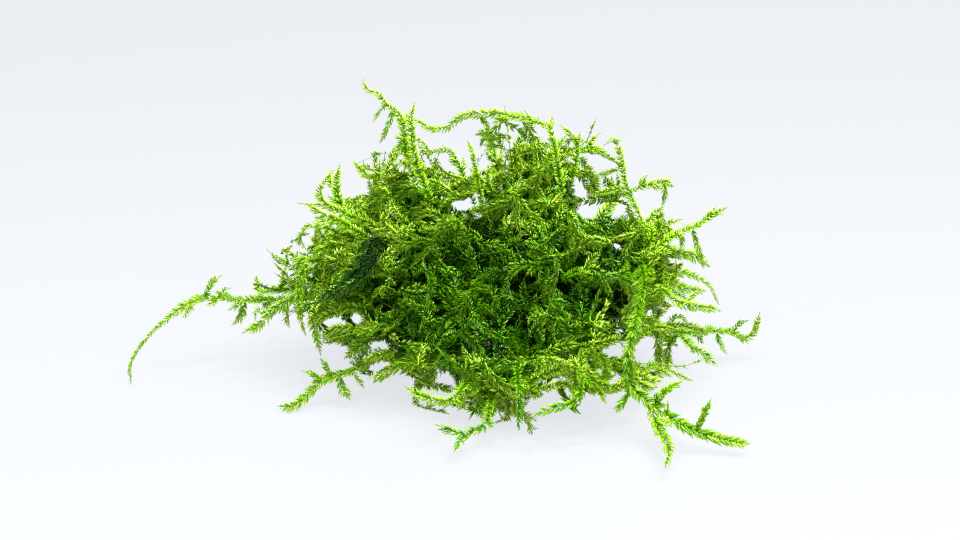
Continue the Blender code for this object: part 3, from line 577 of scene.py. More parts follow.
# Gaps in the tangle that show the table behind it, each as (across, up, half width, half height) as seen.
OPENINGS = (
    (-10.6, 41.6, 2.2, 1.1), (-6.2, 42, 0.7, 0.6), (-16, 38.8, 1, 1), (-14.2, 37.6, 1.2, 0.7),
    (-11.6, 35.6, 0.6, 0.5), (-7.4, 34, 1.9, 1.1), (-4.4, 34.8, 1.4, 1.5), (1.7, 41.1, 0.7, 0.3),
    (0.4, 37, 0.4, 0.4), (4.6, 35.6, 0.6, 0.4), (-18.2, 30.4, 0.5, 0.5), (-1.6, 44.4, 1.6, 1.1),
    (2.8, 47.8, 0.7, 1.6), (0, 49, 1.4, 0.6), (8.2, 48.4, 1.6, 0.8), (4, 49.8, 1, 0.8),
    (19.8, 42.4, 3.8, 2.2), (15.6, 37.4, 2, 2.6), (20.2, 37.9, 1.2, 0.9), (19.8, 32.9, 5, 1.9),
    (29.2, 33.6, 2.8, 3.6), (10, 44.4, 1, 0.8), (10.2, 42.4, 1, 0.8), (20.2, 28, 0.6, 0.4),
    (20, 26, 0.8, 0.5), (23.4, 25.6, 1, 0.8), (17.4, 24.6, 1, 0.5), (35, 26, 0.6, 1.3),
    (33.8, 20.4, 0.8, 0.3), (38, 18.4, 3.2, 0.8), (37, 15.8, 4.4, 1.2), (37, 12.2, 4.4, 1.6),
    (29.7, 12.3, 0.8, 0.8), (28.7, 15.5, 0.5, 0.7), (24.4, 9, 1.6, 0.8), (23.2, 4.6, 1.8, 1.8),
    (29.2, 5.2, 2.4, 2.6), (32.8, 6.6, 0.9, 1), (17.2, 2, 0.8, 0.8), (19.4, 1, 0.7, 0.5),
    (10.8, -1.2, 3.2, 0.8), (10.6, -4.8, 1.8, 1.5), (13.8, -3.8, 1, 0.9), (23, -1.2, 1.3, 0.6),
    (28.1, -0.9, 0.9, 0.6), (28.4, 1.6, 0.7, 0.4), (32.2, -2.2, 2.6, 1.8), (-11, -1.2, 2.2, 0.6),
    (-12, -3.8, 3.6, 1), (6.4, -6, 1.2, 2), (-20.2, -0.6, 4, 1.3), (-22.8, 5.8, 1.2, 1), (-24.8, 6, 1.6, 0.9),
    (-22.8, 2.2, 1.2, 0.7), (-28.6, 11.2, 1.4, 1.4), (-33.2, 10.2, 2.6, 1.2), (-35.6, 7.8, 0.6, 1.2),
    (-32.8, 4.6, 2.1, 1.7), (-31.3, 16.4, 0.5, 0.4), (-34.3, 18.8, 0.5, 1.4), (-33.2, 21.5, 0.4, 0.5),
    (-38.4, 16.6, 0.4, 2.6), (-37.4, 21.6, 0.6, 0.6), (-40.8, 15.8, 0.6, 1.6), (-43.6, 15.8, 0.8, 0.8),
    (-32.4, 27.8, 1.2, 0.3), (-31.6, 1.6, 2.8, 1), (-24, 1.8, 2.2, 0.6), (18, -4.7, 1.9, 1.2),
    (22.2, -5, 2.4, 1.5), (17.5, -8.6, 6, 2.2), (24.5, -9.4, 4.5, 2.2), (-41, 7, 2.6, 4.6),
    (-38.6, 9, 0.8, 4), (-34.2, 33.2, 2.2, 1.3), (-28.6, 37.6, 2.4, 1.9), (-30.4, 40.6, 2.2, 1.8),
    (-37.6, 37.4, 1.8, 3),
)

# Fronds where the tangle is open, by the part that they belong to, each like a shoot's stem.
FRONDS = {
    "left": (
        [(-26.6, 12.8, -12, 2.2), (-29.8, 13.4, -13, 2.2), (-32.6, 12.6, -13, 2.2), (-35.2, 11.6, -13, 1.8),
         (-36.8, 9.6, -13, 1.2)],
        [(-25, 8, -16, 2), (-28, 9, -17, 2), (-30.2, 9.4, -17, 2), (-32.6, 9.2, -17, 2),
         (-34.6, 8.2, -17, 1.8), (-35.4, 6.4, -17, 1)],
        [(-29.6, 8.2, -16, 1.2), (-31, 7.4, -16, 1.8), (-33, 6.8, -16, 1.8), (-35, 6.4, -16, 1.2)],
        [(-25.2, 7.2, -15, 1.8), (-27.4, 6.2, -16, 2.2), (-29.4, 4.8, -17, 2.2), (-31, 3.4, -17, 1.4)],
        [(-20.6, 4.8, -19, 1.8), (-23, 4.2, -19, 2), (-25, 3.6, -19, 2), (-27.2, 2.6, -19, 1.4)],
        [(-18, 3, -20, 2), (-19.6, 2, -21, 2.2), (-21.4, 1, -21, 2.2), (-23.4, -0.2, -21, 2),
         (-25.2, -1.4, -21, 1)],
        [(-18.4, 0.4, -15, 1.8), (-16.4, -0.6, -18, 1.8), (-12.8, -2.2, -20, 2), (-9.6, -3, -22, 2),
         (-7.6, -3.4, -24, 1.4)],
    ),
    "crown": (
        [(-9.4, 37, 2, 2), (-6.6, 38.8, 1, 2.2), (-3.6, 40, 0, 2.2), (-0.8, 40.6, 0, 1.2)],
        [(-2.6, 37, 3, 2), (-0.8, 39, 3, 2.2), (1.2, 40.2, 2, 2), (2.8, 39.6, 2, 1)],
        [(-5.6, 36.9, 6, 2), (-5, 38.8, 6, 2.2), (-5.2, 40.6, 6, 1.8), (-6, 41.2, 6, 1)],
        [(3.2, 37, 4, 2), (3.4, 39.4, 4, 2.2), (3, 41.6, 3, 1.6)],
        [(-1.6, 36.2, -2, 2), (-2.6, 38.4, -3, 2.2), (-2.2, 41.4, -3, 1.2)],
        [(24.6, 36.2, 4, 1.6), (20.4, 35.2, 3, 2.2), (16.6, 34.8, 2, 2.2), (14.2, 33.6, 2, 1)],
        [(14.2, 42.6, 3, 1.8), (16, 39.8, 2, 2), (17.6, 37.6, 2, 1.8), (18.8, 36, 2, 0.8)],
        [(15.8, 43.6, 10, 2), (17.6, 41, 12, 2.8), (19, 38.6, 13, 2.4), (19.6, 36.6, 13, 0.8)],
        [(12, 40.4, 8, 2), (13.8, 37.6, 9, 2.2), (14.8, 34.6, 10, 1.8), (15, 32, 10, 0.8)],
        [(15.2, 44.9, 2, 0.9), (17, 44.8, 2, 1.2), (19.4, 44.4, 2, 1.6), (22, 43.4, 3, 1.4),
         (24.2, 41.4, 4, 0.8)],
        [(0.2, 51.4, 0, 1.8), (1.6, 50, 0, 2), (3.4, 49.2, 0, 2), (4.8, 48, 1, 1.8), (6, 46.4, 2, 1.6)],
        [(0.4, 50.4, 0, 1.2), (-1.2, 48.8, 0, 1.6), (-2.4, 48.2, 0, 1.8), (-4.4, 48.2, 1, 0.6)],
        [(2.4, 47.4, 3, 1.6), (0.6, 47.6, 2, 2), (-1.2, 47.5, 2, 2), (-3, 47, 2, 0.6)],
        [(1.2, 45.2, 4, 1), (-0.4, 45.8, 4, 1.2), (-2, 45.8, 4, 1.4), (-3.4, 46, 4, 0.6)],
        [(1.6, 42.8, 3, 0.8), (1, 44.8, 2, 0.8), (0, 46.8, 2, 0.6)],
        [(-0.8, 42.4, 4, 1), (-2.2, 43.6, 4, 1.2), (-3, 45, 4, 0.6)],
        [(4.4, 50.6, 0, 1.4), (6.2, 49.4, 1, 1.8), (6.4, 47.4, 2, 1.8), (7.2, 45.6, 3, 1.4)],
        [(11, 47.6, 2, 0.9), (9.4, 49.2, 1, 0.9), (8.2, 50.2, 0, 0.9), (7.4, 51.8, 0, 0.5)],
        [(1.4, 43, 0, 1.2), (4.4, 44.4, 0, 1.4), (6.6, 45.6, 0, 1.4), (10, 46.4, 1, 0.9)],
        [(-17, 37, -1, 0.9), (-14, 36.8, -2, 0.9), (-10, 36.4, -3, 0.9), (-6, 36.8, -3, 0.8),
         (-3.4, 38, -2, 0.5)],
        [(-13, 43.6, 4, 1.2), (-12.2, 41.4, 2, 1.4), (-10.4, 40, 1, 1.4), (-7.8, 39.2, 0, 1.2),
         (-5.4, 38.6, 0, 0.6)],
        [(-15.8, 40.6, 2, 1.6), (-14.6, 38.4, 1, 1.4), (-12.6, 37, 0, 1.2), (-9.4, 38.2, 0, 0.8)],
    ),
    "right": (
        [(24, 10.6, -20, 2), (28, 11.4, -18, 2.2), (31.6, 10.2, -17, 2), (34, 8.6, -16, 1.2)],
        [(27, 7.6, -20, 1.8), (29.6, 9, -19, 2), (32.4, 9.4, -18, 1.6), (35, 9, -17, 1)],
        [(30.6, 9.2, -12, 1.8), (34.6, 9.8, -10, 2), (38.6, 9.6, -8, 1.8), (41.6, 8.2, -6, 1)],
        [(31.4, 9.2, 2, 1.8), (31.5, 6.4, 1, 2.2), (31.8, 3.6, 0, 2.2), (32.3, 0.6, -1, 1.6)],
        [(35.6, 8.2, 4, 1.8), (33.8, 6.4, 2, 2.2), (33.4, 4.2, 1, 2.2), (33.6, 2.2, 0, 1.8),
         (32.9, 0, -1, 0.8)],
    ),
    "front_right": (
        [(28.4, 1.4, -16, 1.6), (30.4, 0.2, -16, 1.8), (32.6, -0.5, -16, 1)],
        [(15.6, 5.2, -22, 1.8), (18.6, 6, -23, 2), (21.8, 6.6, -22, 2), (24.4, 7.8, -21, 1.4)],
        [(21.4, 3.4, -24, 1.6), (24.4, 2.6, -22, 2), (27.2, 1.6, -20, 2), (29.4, 1, -19, 1.4)],
        [(30.4, -5, -33, 1.8), (32.8, -3.4, -33, 2), (34.8, -2.2, -33, 1.8), (36.4, -1.2, -33, 1)],
        [(26.4, -0.2, -28, 2), (28.2, -2, -30, 2.2), (29.6, -2.7, -31, 1.8), (31.4, -2.4, -31, 1)],
        [(5.6, -1.6, -30, 2), (9.2, 0.2, -32, 2.2), (11.4, 0.9, -33, 2.2), (13.4, 1, -33, 2),
         (14.8, 0.4, -33, 1)],
        [(5.4, -3.4, -33, 1.8), (9.2, -2.6, -34, 2), (11, -2.1, -34, 2), (12.8, -1.8, -34, 1.8),
         (14.6, -2.8, -34, 1.6), (15.4, -3.6, -34, 1.2)],
        [(15.2, 3, -30, 2.2), (14.8, 0.2, -34, 2.4), (15.2, -2.2, -35, 2.4), (15.6, -4, -35, 1.2)],
        [(17.4, 0.4, -30, 2), (18.4, -1.2, -31, 2.2), (20.6, -2, -32, 2.2), (22, -2.6, -32, 1.8),
         (23.8, -2.2, -32, 1.8), (25.2, -2.8, -32, 1.4)],
        [(18.6, 5.6, -24, 2.2), (20.4, 3.2, -26, 2.4), (21.2, 0.8, -28, 2.4), (20.6, -1, -29, 1.4)],
        [(6.8, 2.8, -30, 1.8), (9.8, 3, -32, 1.8), (12, 2.2, -33, 1.8), (14.2, 1.4, -34, 1.6),
         (16, 1.2, -34, 1)],
    ),
}
# Fronds whose leafy width stays at or below this are nearly bare.
MOST_BARE = 1.0

# Dark fronds that show among the young ones at the front left.
DARK_FRONDS = (
    [(-23.6, 28, -9, 2), (-25.4, 25.4, -11, 2.4), (-27, 22.2, -12, 2.6), (-30, 19.4, -13, 2.6),
     (-33.6, 16.6, -14, 2.4), (-36.6, 14.6, -14, 1.6)],
    [(-25, 27.6, -10, 2), (-26.2, 24.6, -12, 2.4), (-28.4, 20.8, -13, 2.6), (-31.4, 17.8, -14, 2.4),
     (-34, 15.2, -14, 1.6)],
    [(-24.4, 25, -13, 2), (-26.4, 21, -14, 2.4), (-29.4, 18.2, -15, 2.2), (-32, 17.2, -15, 1.4)],
    [(4, 21.6, -11, 2), (1.8, 20.4, -12, 2.4), (-0.6, 20.2, -13, 2.4), (-3, 21.2, -12, 1.6)],
    [(6.8, 15.6, -16, 2), (4.6, 14.2, -18, 2.4), (2.2, 14.6, -18, 2.2), (0.4, 15.8, -17, 1.4)],
)
DARK_FROND_TONE = 0.12


def linear(colour):
    """A hex sRGB colour as linear red, green and blue."""
    shares = [int(colour[i : i + 2], 16) / 255 for i in (1, 3, 5)]
    return [s / 12.92 if s <= 0.04045 else ((s + 0.055) / 1.055) ** 2.4 for s in shares]


def within(band, share):
    """The place at this share of a band of the map."""
    return band[0] + (band[1] - band[0]) * share


def unit(vectors):
    return vectors / np.linalg.norm(vectors, axis=-1, keepdims=True)


class LeafSettings(bpy.types.PropertyGroup):
    """The size and set of the leaves."""

    length: FloatProperty(
        name="Length", description="Length of a full-grown leaf", default=1.62 * MM, unit="LENGTH")
    width: FloatProperty(
        name="Width", description="Width of a full-grown leaf", default=0.50 * MM, unit="LENGTH")
    spacing: FloatProperty(
        name="Spacing", description="From one leaf to the next along one side of a stem",
        default=0.47 * MM, unit="LENGTH")
    stem: FloatProperty(
        name="Stem", description="Thickness of a main stem", default=0.17 * MM, unit="LENGTH")


class TangleSettings(bpy.types.PropertyGroup):
    """How the mound is filled with sprays."""

    outer_sprays: IntProperty(
        name="Outer sprays", description="Number of branched sprays near the surface", default=480)
    inner_sprays: IntProperty(
        name="Inner sprays", description="Number of branched sprays deep in the mound", default=270)
    wiry_stems: IntProperty(
        name="Wiry stems", description="Number of nearly bare stems across the surface", default=60)
    spray_length: FloatProperty(
        name="Spray length", description="Usual length of a spray's main stem",
        default=26.0 * MM, unit="LENGTH")
    branch_spacing: FloatProperty(
        name="Branch spacing", description="From one side branch to the next",
        default=2.7 * MM, unit="LENGTH")
    seed: IntProperty(name="Seed", description="Start of the random draws", default=7)


class ColourSettings(bpy.types.PropertyGroup):
    """The colours of the moss, from old to young."""

    old: FloatVectorProperty(
        name="Old leaf", description="Shaded leaves in the heart of the clump",
        subtype="COLOR", size=3, default=linear("#1E5802"))
    grown: FloatVectorProperty(
        name="Grown leaf", description="Full-grown leaves",
        subtype="COLOR", size=3, default=linear("#60AA05"))
    fresh: FloatVectorProperty(
        name="Fresh leaf", description="Leaves of the season",
        subtype="COLOR", size=3, default=linear("#A2DC08"))
    young: FloatVectorProperty(
        name="Young leaf", description="The newest leaves at the tips",
        subtype="COLOR", size=3, default=linear("#D4F050"))
    stem: FloatVectorProperty(
        name="Stem", description="Live wiry stems",
        subtype="COLOR", size=3, default=linear("#4C700A"))
    old_stem: FloatVectorProperty(
        name="Old stem", description="Old brown stems",
        subtype="COLOR", size=3, default=linear("#33380A"))


class StageSettings(bpy.types.PropertyGroup):
    """The table and the light."""

    table: FloatVectorProperty(
        name="Table", description="Colour of the table",
        subtype="COLOR", size=3, default=linear("#363637"))
    table_glow: FloatProperty(
        name="Table glow", description="Brightness of the table top, which is lit from below", default=0.80)
    table_size: FloatProperty(
        name="Table size", description="Side of the table top", default=3.0, unit="LENGTH")
    soft_light: FloatProperty(
        name="Soft light", description="Power of the wide light overhead", default=20.0, unit="POWER")
    key_light: FloatProperty(
        name="Key lights", description="Power of each small light that makes the wet glints",
        default=2.05, unit="POWER")
    sky: FloatProperty(
        name="Surroundings", description="Brightness of the pale surroundings", default=0.40)


def seen_rows(rows):
    """Seen points (across, up, back, width) as (x, y, z, width)."""
    rows = np.array(rows, float)
    ray = rows[:, :1] * SIGHT_RIGHT + rows[:, 1:2] * SIGHT_UP - EYE
    points = EYE + ray * ((rows[:, 2:3] - EYE[1]) / ray[:, 1:2])
    low = points[:, 2] < LEAST_HEIGHT
    points[low] = EYE + ray[low] * ((LEAST_HEIGHT - EYE[2]) / ray[low, 2:3])
    return np.hstack([points, rows[:, 3:]])


def along(points):
    """The distance of each point from the first one, along the line."""
    return np.concatenate([[0.0], np.cumsum(np.linalg.norm(np.diff(points, axis=0), axis=1))])


def smooth_route(rows):
    """Rows ROUTE_STEP apart on the smooth curve through the given ones."""
    ends = np.vstack([rows[:1], rows, rows[-1:]])
    fine = []
    for before, start, end, after in zip(ends, ends[1:], ends[2:], ends[3:]):
        count = max(1, round(np.linalg.norm(end[:3] - start[:3]) / ROUTE_STEP))
        t = np.arange(count)[:, None] / count
        pull = (end - before) * (t - 2 * t**2 + t**3) / 2
        push = (after - start) * (t**3 - t**2) / 2
        run = start + (end - start) * (3 * t**2 - 2 * t**3) + pull + push
        run[:, 3:] = start[3:] + (end[3:] - start[3:]) * t
        fine.append(run)
    fine = np.vstack([*fine, rows[-1:]])
    distance = along(fine[:, :3])
    places = np.linspace(0, distance[-1], max(3, round(distance[-1] / ROUTE_STEP) + 1))
    return np.column_stack([np.interp(places, distance, column) for column in fine.T])


class Stem:
    """One stem and the leaves on it: its points, leafy width and tone at each, and its frond's facing."""

    def __init__(self, points, width, tone, facing, thickness=1.0, leafiness=LEAFY, twist=0.0):
        self.points = points
        self.width = np.broadcast_to(width, len(points)).astype(float)
        self.tone = np.broadcast_to(tone, len(points)).astype(float)
        self.thickness = thickness
        self.leafiness = leafiness
        self.ahead = unit(np.gradient(points, axis=0))
        side = unit(np.cross(self.ahead, facing))
        face = np.cross(side, self.ahead)
        turn = np.broadcast_to(twist, len(points))[:, None]
        self.side = side * np.cos(turn) + face * np.sin(turn)
        self.face = np.cross(self.side, self.ahead)

    def at(self, places):
        """The stem's point, axes, width and tone at these distances along it."""
        distance = along(self.points)
        table = np.column_stack([self.points, self.ahead, self.side, self.face, self.width, self.tone])
        rows = np.column_stack([np.interp(places, distance, column) for column in table.T])
        points, ahead, side, face = np.split(rows[:, :12], 4, axis=1)
        return points, unit(ahead), unit(side), unit(face), rows[:, 12], rows[:, 13]

    def length(self):
        return along(self.points)[-1]


def leaves_on(rng, stem, leaf, scale=1.0):
    """The leaves of a stem as rows: base, axes scaled to size, and tone."""
    spacing, total = scale * leaf.spacing / MM, stem.length()
    side_places = np.arange(FIRST_LEAF * spacing, total, spacing / 2)
    side_turn = np.arange(len(side_places)) % 2 * math.pi
    face_places = np.arange(FIRST_FACE_LEAF * spacing, total, spacing * FACE_LEAF_SPACING / 2)
    face_turn = (np.arange(len(face_places)) % 2 - 0.5) * math.pi
    on_face = np.concatenate([np.zeros(len(side_places), bool), np.ones(len(face_places), bool)])
    places = np.concatenate([side_places, face_places])
    places = np.clip(places + rng.normal(0, PLACE_SCATTER * spacing, len(places)), 0, total)
    turn = np.concatenate([side_turn, face_turn]) + rng.normal(0, 1, len(places)) * np.where(
        on_face, FACE_SCATTER, SIDE_SCATTER)
    kept = rng.random(len(places)) < stem.leafiness
    places, turn, on_face = places[kept], turn[kept], on_face[kept]
    base, ahead, side, face, width, tone = stem.at(places)
    tip = np.clip((total - places) / TIP_LENGTH, 0, 1)
    tip_share = TIP_SHARE + (1 - TIP_SHARE) * tip
    size = (width / FULL_FROND) ** WIDTH_TO_LENGTH * rng.normal(1, SIZE_SCATTER, len(places))
    size *= scale * np.where(on_face, FACE_LEAF_SIZE, 1.0) * tip_share
    length = leaf.length / MM * size
    spread = np.arcsin(np.clip(width / 2 / np.maximum(length, LEAST_LENGTH), LEAST_SPREAD, MOST_SPREAD))
    spread = spread * tip_share + rng.normal(0, SPREAD_SCATTER, len(places))
    spread, turn = spread[:, None], turn[:, None]
    radial = np.cos(turn) * side + np.sin(turn) * face
    direction = np.cos(spread) * ahead + np.sin(spread) * radial
    flat = unit(face - (face * direction).sum(1, keepdims=True) * direction)
    natural = np.sin(spread) * ahead - np.cos(spread) * radial
    normal = np.where(on_face[:, None], natural, flat)
    twist = rng.normal(0, TWIST_SCATTER, (len(places), 1))
    normal = np.cos(twist) * normal + np.sin(twist) * np.cross(direction, normal)
    across = np.cross(direction, normal)
    wide = (leaf.width / MM * np.sqrt(size * np.clip(size, *WIDTH_LIMITS)))[:, None]
    tone = tone + rng.normal(0, TONE_SCATTER, len(places)) + TIP_BRIGHTENING * (1 - tip)
    # Painted highlights: a random share of the leaves is made brighter.
    tone = tone + BRIGHT_LEAF_TONE * (rng.random(len(places)) < BRIGHT_LEAF_SHARE)
    return np.column_stack([base, across * wide, direction * length[:, None], normal * wide, tone])


def leaf_template(detail):
    """A closed, pointed leaf, folded along its midrib: its points, triangles and places on the map.

    It is a unit wide along X and a unit long along Y, with its upper face along +Z."""
    bm = bmesh.new()
    shares = {}
    if detail in OUTLINES:
        outline = OUTLINES[detail]
        bmesh.ops.create_uvsphere(bm, u_segments=4, v_segments=len(outline) - 1, radius=1.0)
        levels = sorted({round(v.co.z, 4) for v in bm.verts})
        for vertex in bm.verts:
            length, width = outline[levels.index(round(vertex.co.z, 4))]
            ring = Vector((vertex.co.x, vertex.co.y)).normalized() * width
            margin = abs(ring.x)
            on_midrib = margin < 0.5
            shares[vertex.index] = MARGIN_SHARE * margin + MIDRIB_SHARE * on_midrib if width else length
            height = FOLD * margin + THICKNESS * ring.y / 2 + TIP_CURVE * length**2
            vertex.co = (ring.x / 2, length, height)
    else:
        bmesh.ops.create_cone(bm, segments=3, radius1=1.0, radius2=0.0, depth=1.0, cap_ends=True)
        corners = sorted(bm.verts, key=lambda v: (-v.co.z, v.co.x, v.co.y))
        places = ((0, 1, TIP_CURVE), (-0.5, FAR_WIDEST, FOLD), (0.5, FAR_WIDEST, FOLD), (0, 0, 0))
        for vertex, place, share in zip(corners, places, (1.0, MARGIN_SHARE, MARGIN_SHARE, 0.0)):
            vertex.co = place
            shares[vertex.index] = share
    bmesh.ops.triangulate(bm, faces=bm.faces)
    bmesh.ops.recalc_face_normals(bm, faces=bm.faces)
    points = np.array([v.co for v in bm.verts])
    triangles = np.array([[v.index for v in face.verts] for face in bm.faces])
    heights = np.array([shares[number] for number in range(len(points))])
    places = np.column_stack([points[:, 0] * 2 * TONE_MARGIN, within(LEAF_BAND, heights)])
    bm.free()
    return points, triangles, places


def leaf_mesh(name, leaves, detail):
    """One mesh with a copy of the template for each row of leaves."""
    shape, triangles, places = leaf_template(detail)
    base, *axes, tone = np.split(leaves, [3, 6, 9, 12], axis=1)
    points = base[:, None]
    for share, axis in zip(shape.T, axes):
        points = points + share[:, None] * axis[:, None]
    points = points.reshape(-1, 3)
    points[:, 2] = np.maximum(points[:, 2], TABLE_CLEARANCE)
    corners = (triangles + np.arange(len(leaves))[:, None, None] * len(shape)).reshape(-1)
    mapped = np.broadcast_to(places, (len(leaves), *places.shape)).copy()
    mapped[:, :, 0] += np.clip(tone, TONE_MARGIN, 1 - TONE_MARGIN)
    mesh = bpy.data.meshes.new(name)
    mesh.vertices.add(len(points))
    mesh.vertices.foreach_set("co", (points * MM).ravel())
    mesh.loops.add(len(corners))
    mesh.loops.foreach_set("vertex_index", corners)
    mesh.polygons.add(len(corners) // 3)
    mesh.polygons.foreach_set("loop_start", np.arange(0, len(corners), 3))
    mesh.polygons.foreach_set("material_index", np.ones(len(corners) // 3, int))
    mesh.update(calc_edges=True)
    mesh.uv_layers.new(name=UV_MAP).data.foreach_set("uv", mapped.reshape(-1, 2)[corners].ravel())
    return mesh


def stem_mesh(name, stems, leaf):
    """One mesh of round tapered stems, swept by a curve's bevel."""
    curve = bpy.data.curves.new(name, "CURVE")
    curve.dimensions = "3D"
    curve.bevel_depth = leaf.stem / 2
    curve.bevel_resolution = 0
    curve.use_fill_caps = True
    tones = []
    for stem in stems:
        total = stem.length()
        count = max(3, round(total / STEM_STEP) + 1)
        places = np.linspace(0, total, count)
        points, *_, tone = stem.at(places)
        spline = curve.splines.new("POLY")
        spline.points.add(count - 1)
        spline.points.foreach_set("co", np.column_stack([points * MM, np.ones(count)]).ravel())
        spline.points.foreach_set("radius", stem.thickness * (1 - STEM_TAPER * places / total))
        tones.append(tone)
    swept = bpy.data.objects.new(name, curve)
    mesh = bpy.data.meshes.new_from_object(swept)
    bpy.data.objects.remove(swept)
    bpy.data.curves.remove(curve)
    # The sweep lists the caps first, from the last stem's tip to the first stem's foot, and then the sides.
    caps = [tone[end] for tone in reversed(tones) for end in (-1, 0)]
    tones = np.repeat(np.concatenate([caps, *tones]), STEM_CORNERS)
    if len(tones) != len(mesh.vertices):
        raise RuntimeError(f"{name}: the swept stems have {len(mesh.vertices)} points, not {len(tones)}")
    corners, starts, counts = (np.empty(n, int) for n in (len(mesh.loops), *[len(mesh.polygons)] * 2))
    mesh.loops.foreach_get("vertex_index", corners)
    mesh.polygons.foreach_get("loop_start", starts)
    mesh.polygons.foreach_get("loop_total", counts)
    order = np.arange(len(corners)) - np.repeat(starts, counts)
    across = np.array([-1, 1, 1, -1])[order] * TONE_MARGIN
    up = np.array([0, 0, 1, 1])[order]
    tones = np.clip(tones[corners], 2 * TONE_MARGIN, 1 - 2 * TONE_MARGIN)
    mapped = np.column_stack([tones + across, within(STEM_BAND, up)])
    for layer in list(mesh.uv_layers):
        mesh.uv_layers.remove(layer)
    mesh.uv_layers.new(name=UV_MAP).data.foreach_set("uv", mapped.ravel())
    return mesh


def moss_piece(name, stems, leaves, detail, leaf, node):
    """A finished piece: its stems and leaves in one mesh, riding on the body in place of the node."""
    bm = bmesh.new()
    swept = stem_mesh(name + "_stems", stems, leaf)
    bm.from_mesh(swept)
    bmesh.ops.remove_doubles(bm, verts=bm.verts, dist=WELD * MM)
    grown = leaf_mesh(name + "_leaves", leaves, detail)
    bm.from_mesh(grown)
    for used in (swept, grown):
        bpy.data.meshes.remove(used)
    bmesh.ops.recalc_face_normals(bm, faces=bm.faces)
    for face in bm.faces:
        face.smooth = True
    mesh = bpy.data.meshes.new(name)
    bm.to_mesh(mesh)
    bm.free()
    for material in (STEM_MATERIAL, LEAF_MATERIAL):
        mesh.materials.append(bpy.data.materials[material])
    piece = bpy.data.objects.new(name, mesh)
    bpy.context.scene.collection.objects.link(piece)
    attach(piece, BODY)
    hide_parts(node)


def side_branch(rng, stem, place, sign, length, width):
    """A branch that leaves the stem at this place, to its left or right, and curls towards the stem's tip."""
    base, ahead, side, face, _, tone = (row[0] for row in stem.at(np.array([place])))
    steps = np.linspace(0, 1, max(3, round(length / ROUTE_STEP) + 1))[:, None]
    angle = rng.uniform(*BRANCH_ANGLES) * (1 - BRANCH_CURL * steps)
    lift = rng.normal(0, BRANCH_LIFT) + rng.normal(0, BRANCH_BEND) * steps
    sag = np.array((0, 0, BRANCH_SAG)) * steps * rng.random()
    heading = unit(np.cos(angle) * ahead + np.sin(angle) * sign * side + lift * face - sag)
    points = base + np.vstack([np.zeros(3), np.cumsum(heading[1:], axis=0)]) * length / (len(steps) - 1)
    points[:, 2] = np.maximum(points[:, 2], LEAST_HEIGHT)
    tones = tone + np.linspace(0, BRANCH_TONE_RISE, len(points))
    facing = unit(face + rng.normal(0, BRANCH_FACING_SCATTER, 3))
    return Stem(
        points, width * np.interp(steps[:, 0], *BRANCH_TAPER), tones, facing,
        thickness=BRANCH_THICKNESS * stem.thickness)


def sway(rng, count, size):
    """A slowly changing random amount, one for each point."""
    first, second = rng.uniform(0, 2 * math.pi, 2)
    x = np.linspace(0, 1, count)
    waves = np.sin(first + SWAY_WAVES[0] * x) + SECOND_WAVE * np.sin(second + SWAY_WAVES[1] * x)
    return size * waves / (1 + SECOND_WAVE)


def shoot_stem(rng, rows, tone, leafiness, rooted=False):
    """A shoot's stem. Where it is rooted, its foot takes the tone of the tangle round it, with its painted
    shade.
    """
    route = smooth_route(rows)
    points = route[:, :3]
    twist = sway(rng, len(route), SHOOT_TWIST)
    tones = tone + SHOOT_TONE_RISE * np.linspace(-1, 1, len(route)) + sway(rng, len(route), SHOOT_TONE_SWAY)
    if rooted:
        foot = np.clip(1 - along(points) / FOOT_LENGTH, 0, 1)
        tones += foot * (FOOT_SHARE * tone_of(points) - tones)
    facing = unit(SHOOT_FACING + rng.normal(0, SHOOT_FACING_SCATTER, 3))
    return Stem(points, route[:, 3] * FULLNESS, tones, facing, leafiness=leafiness, twist=twist)


def sprigs(rng, stem):
    """Short side branches on the lower part of a shoot's stem."""
    total, sign, made = stem.length(), rng.choice((-1, 1)), []
    for place in np.arange(rng.uniform(*SPRIG_START), total * SPRIG_END, SPRIG_SPACING):
        reach = rng.uniform(*SPRIG_LENGTHS) * (1 - SPRIG_SHORTENING * place / total)
        place = place + rng.uniform(-SPRIG_SCATTER, SPRIG_SCATTER)
        made.append(side_branch(rng, stem, place, sign, reach, SPRIG_WIDTH))
        sign = -sign
    return [kept for kept in map(cut_at_openings, made) if kept]


class MOSS_OT_shoots(bpy.types.Operator):
    """Grow the leafy shoots and bare stems that stand clear of the tangle"""

    bl_idname = "peacock_moss.shoots"
    bl_label = "Grow the free shoots"

    def execute(self, context):
        leaf = context.scene.moss_leaf
        seed = context.scene.moss_tangle.seed
        routes = {name: [seen_rows(rows) for rows in lines] for name, lines in SEEN_SHOOTS.items()}
        routes |= {name: [np.array(rows, float)] for name, rows in BACK_SHOOTS.items()}
        for number, (name, lines) in enumerate(routes.items()):
            rng = np.random.default_rng((seed, number))
            bare = "bare" in name
            tone = SHOOT_TONES.get(name, BACK_TONE if name in BACK_SHOOTS else USUAL_TONE)
            stems = []
            for order, rows in enumerate(lines):
                stem = shoot_stem(rng, rows, tone, BARE_LEAFINESS if bare else LEAFY, rooted=order == 0)
                stem.thickness = TWIG_THICKNESS if order else 1.0
                stems.append(stem)
            if not bare:
                stems += sprigs(rng, stems[0])
            scale = SHOOT_SCALES.get(name, 1.0)
            leaves = np.vstack([leaves_on(rng, stem, leaf, scale) for stem in stems])
            detail = "near" if name in NEAR_SHOOTS else "middle"
            moss_piece(name + "_moss", stems, leaves, detail, leaf, name)
        return {"FINISHED"}


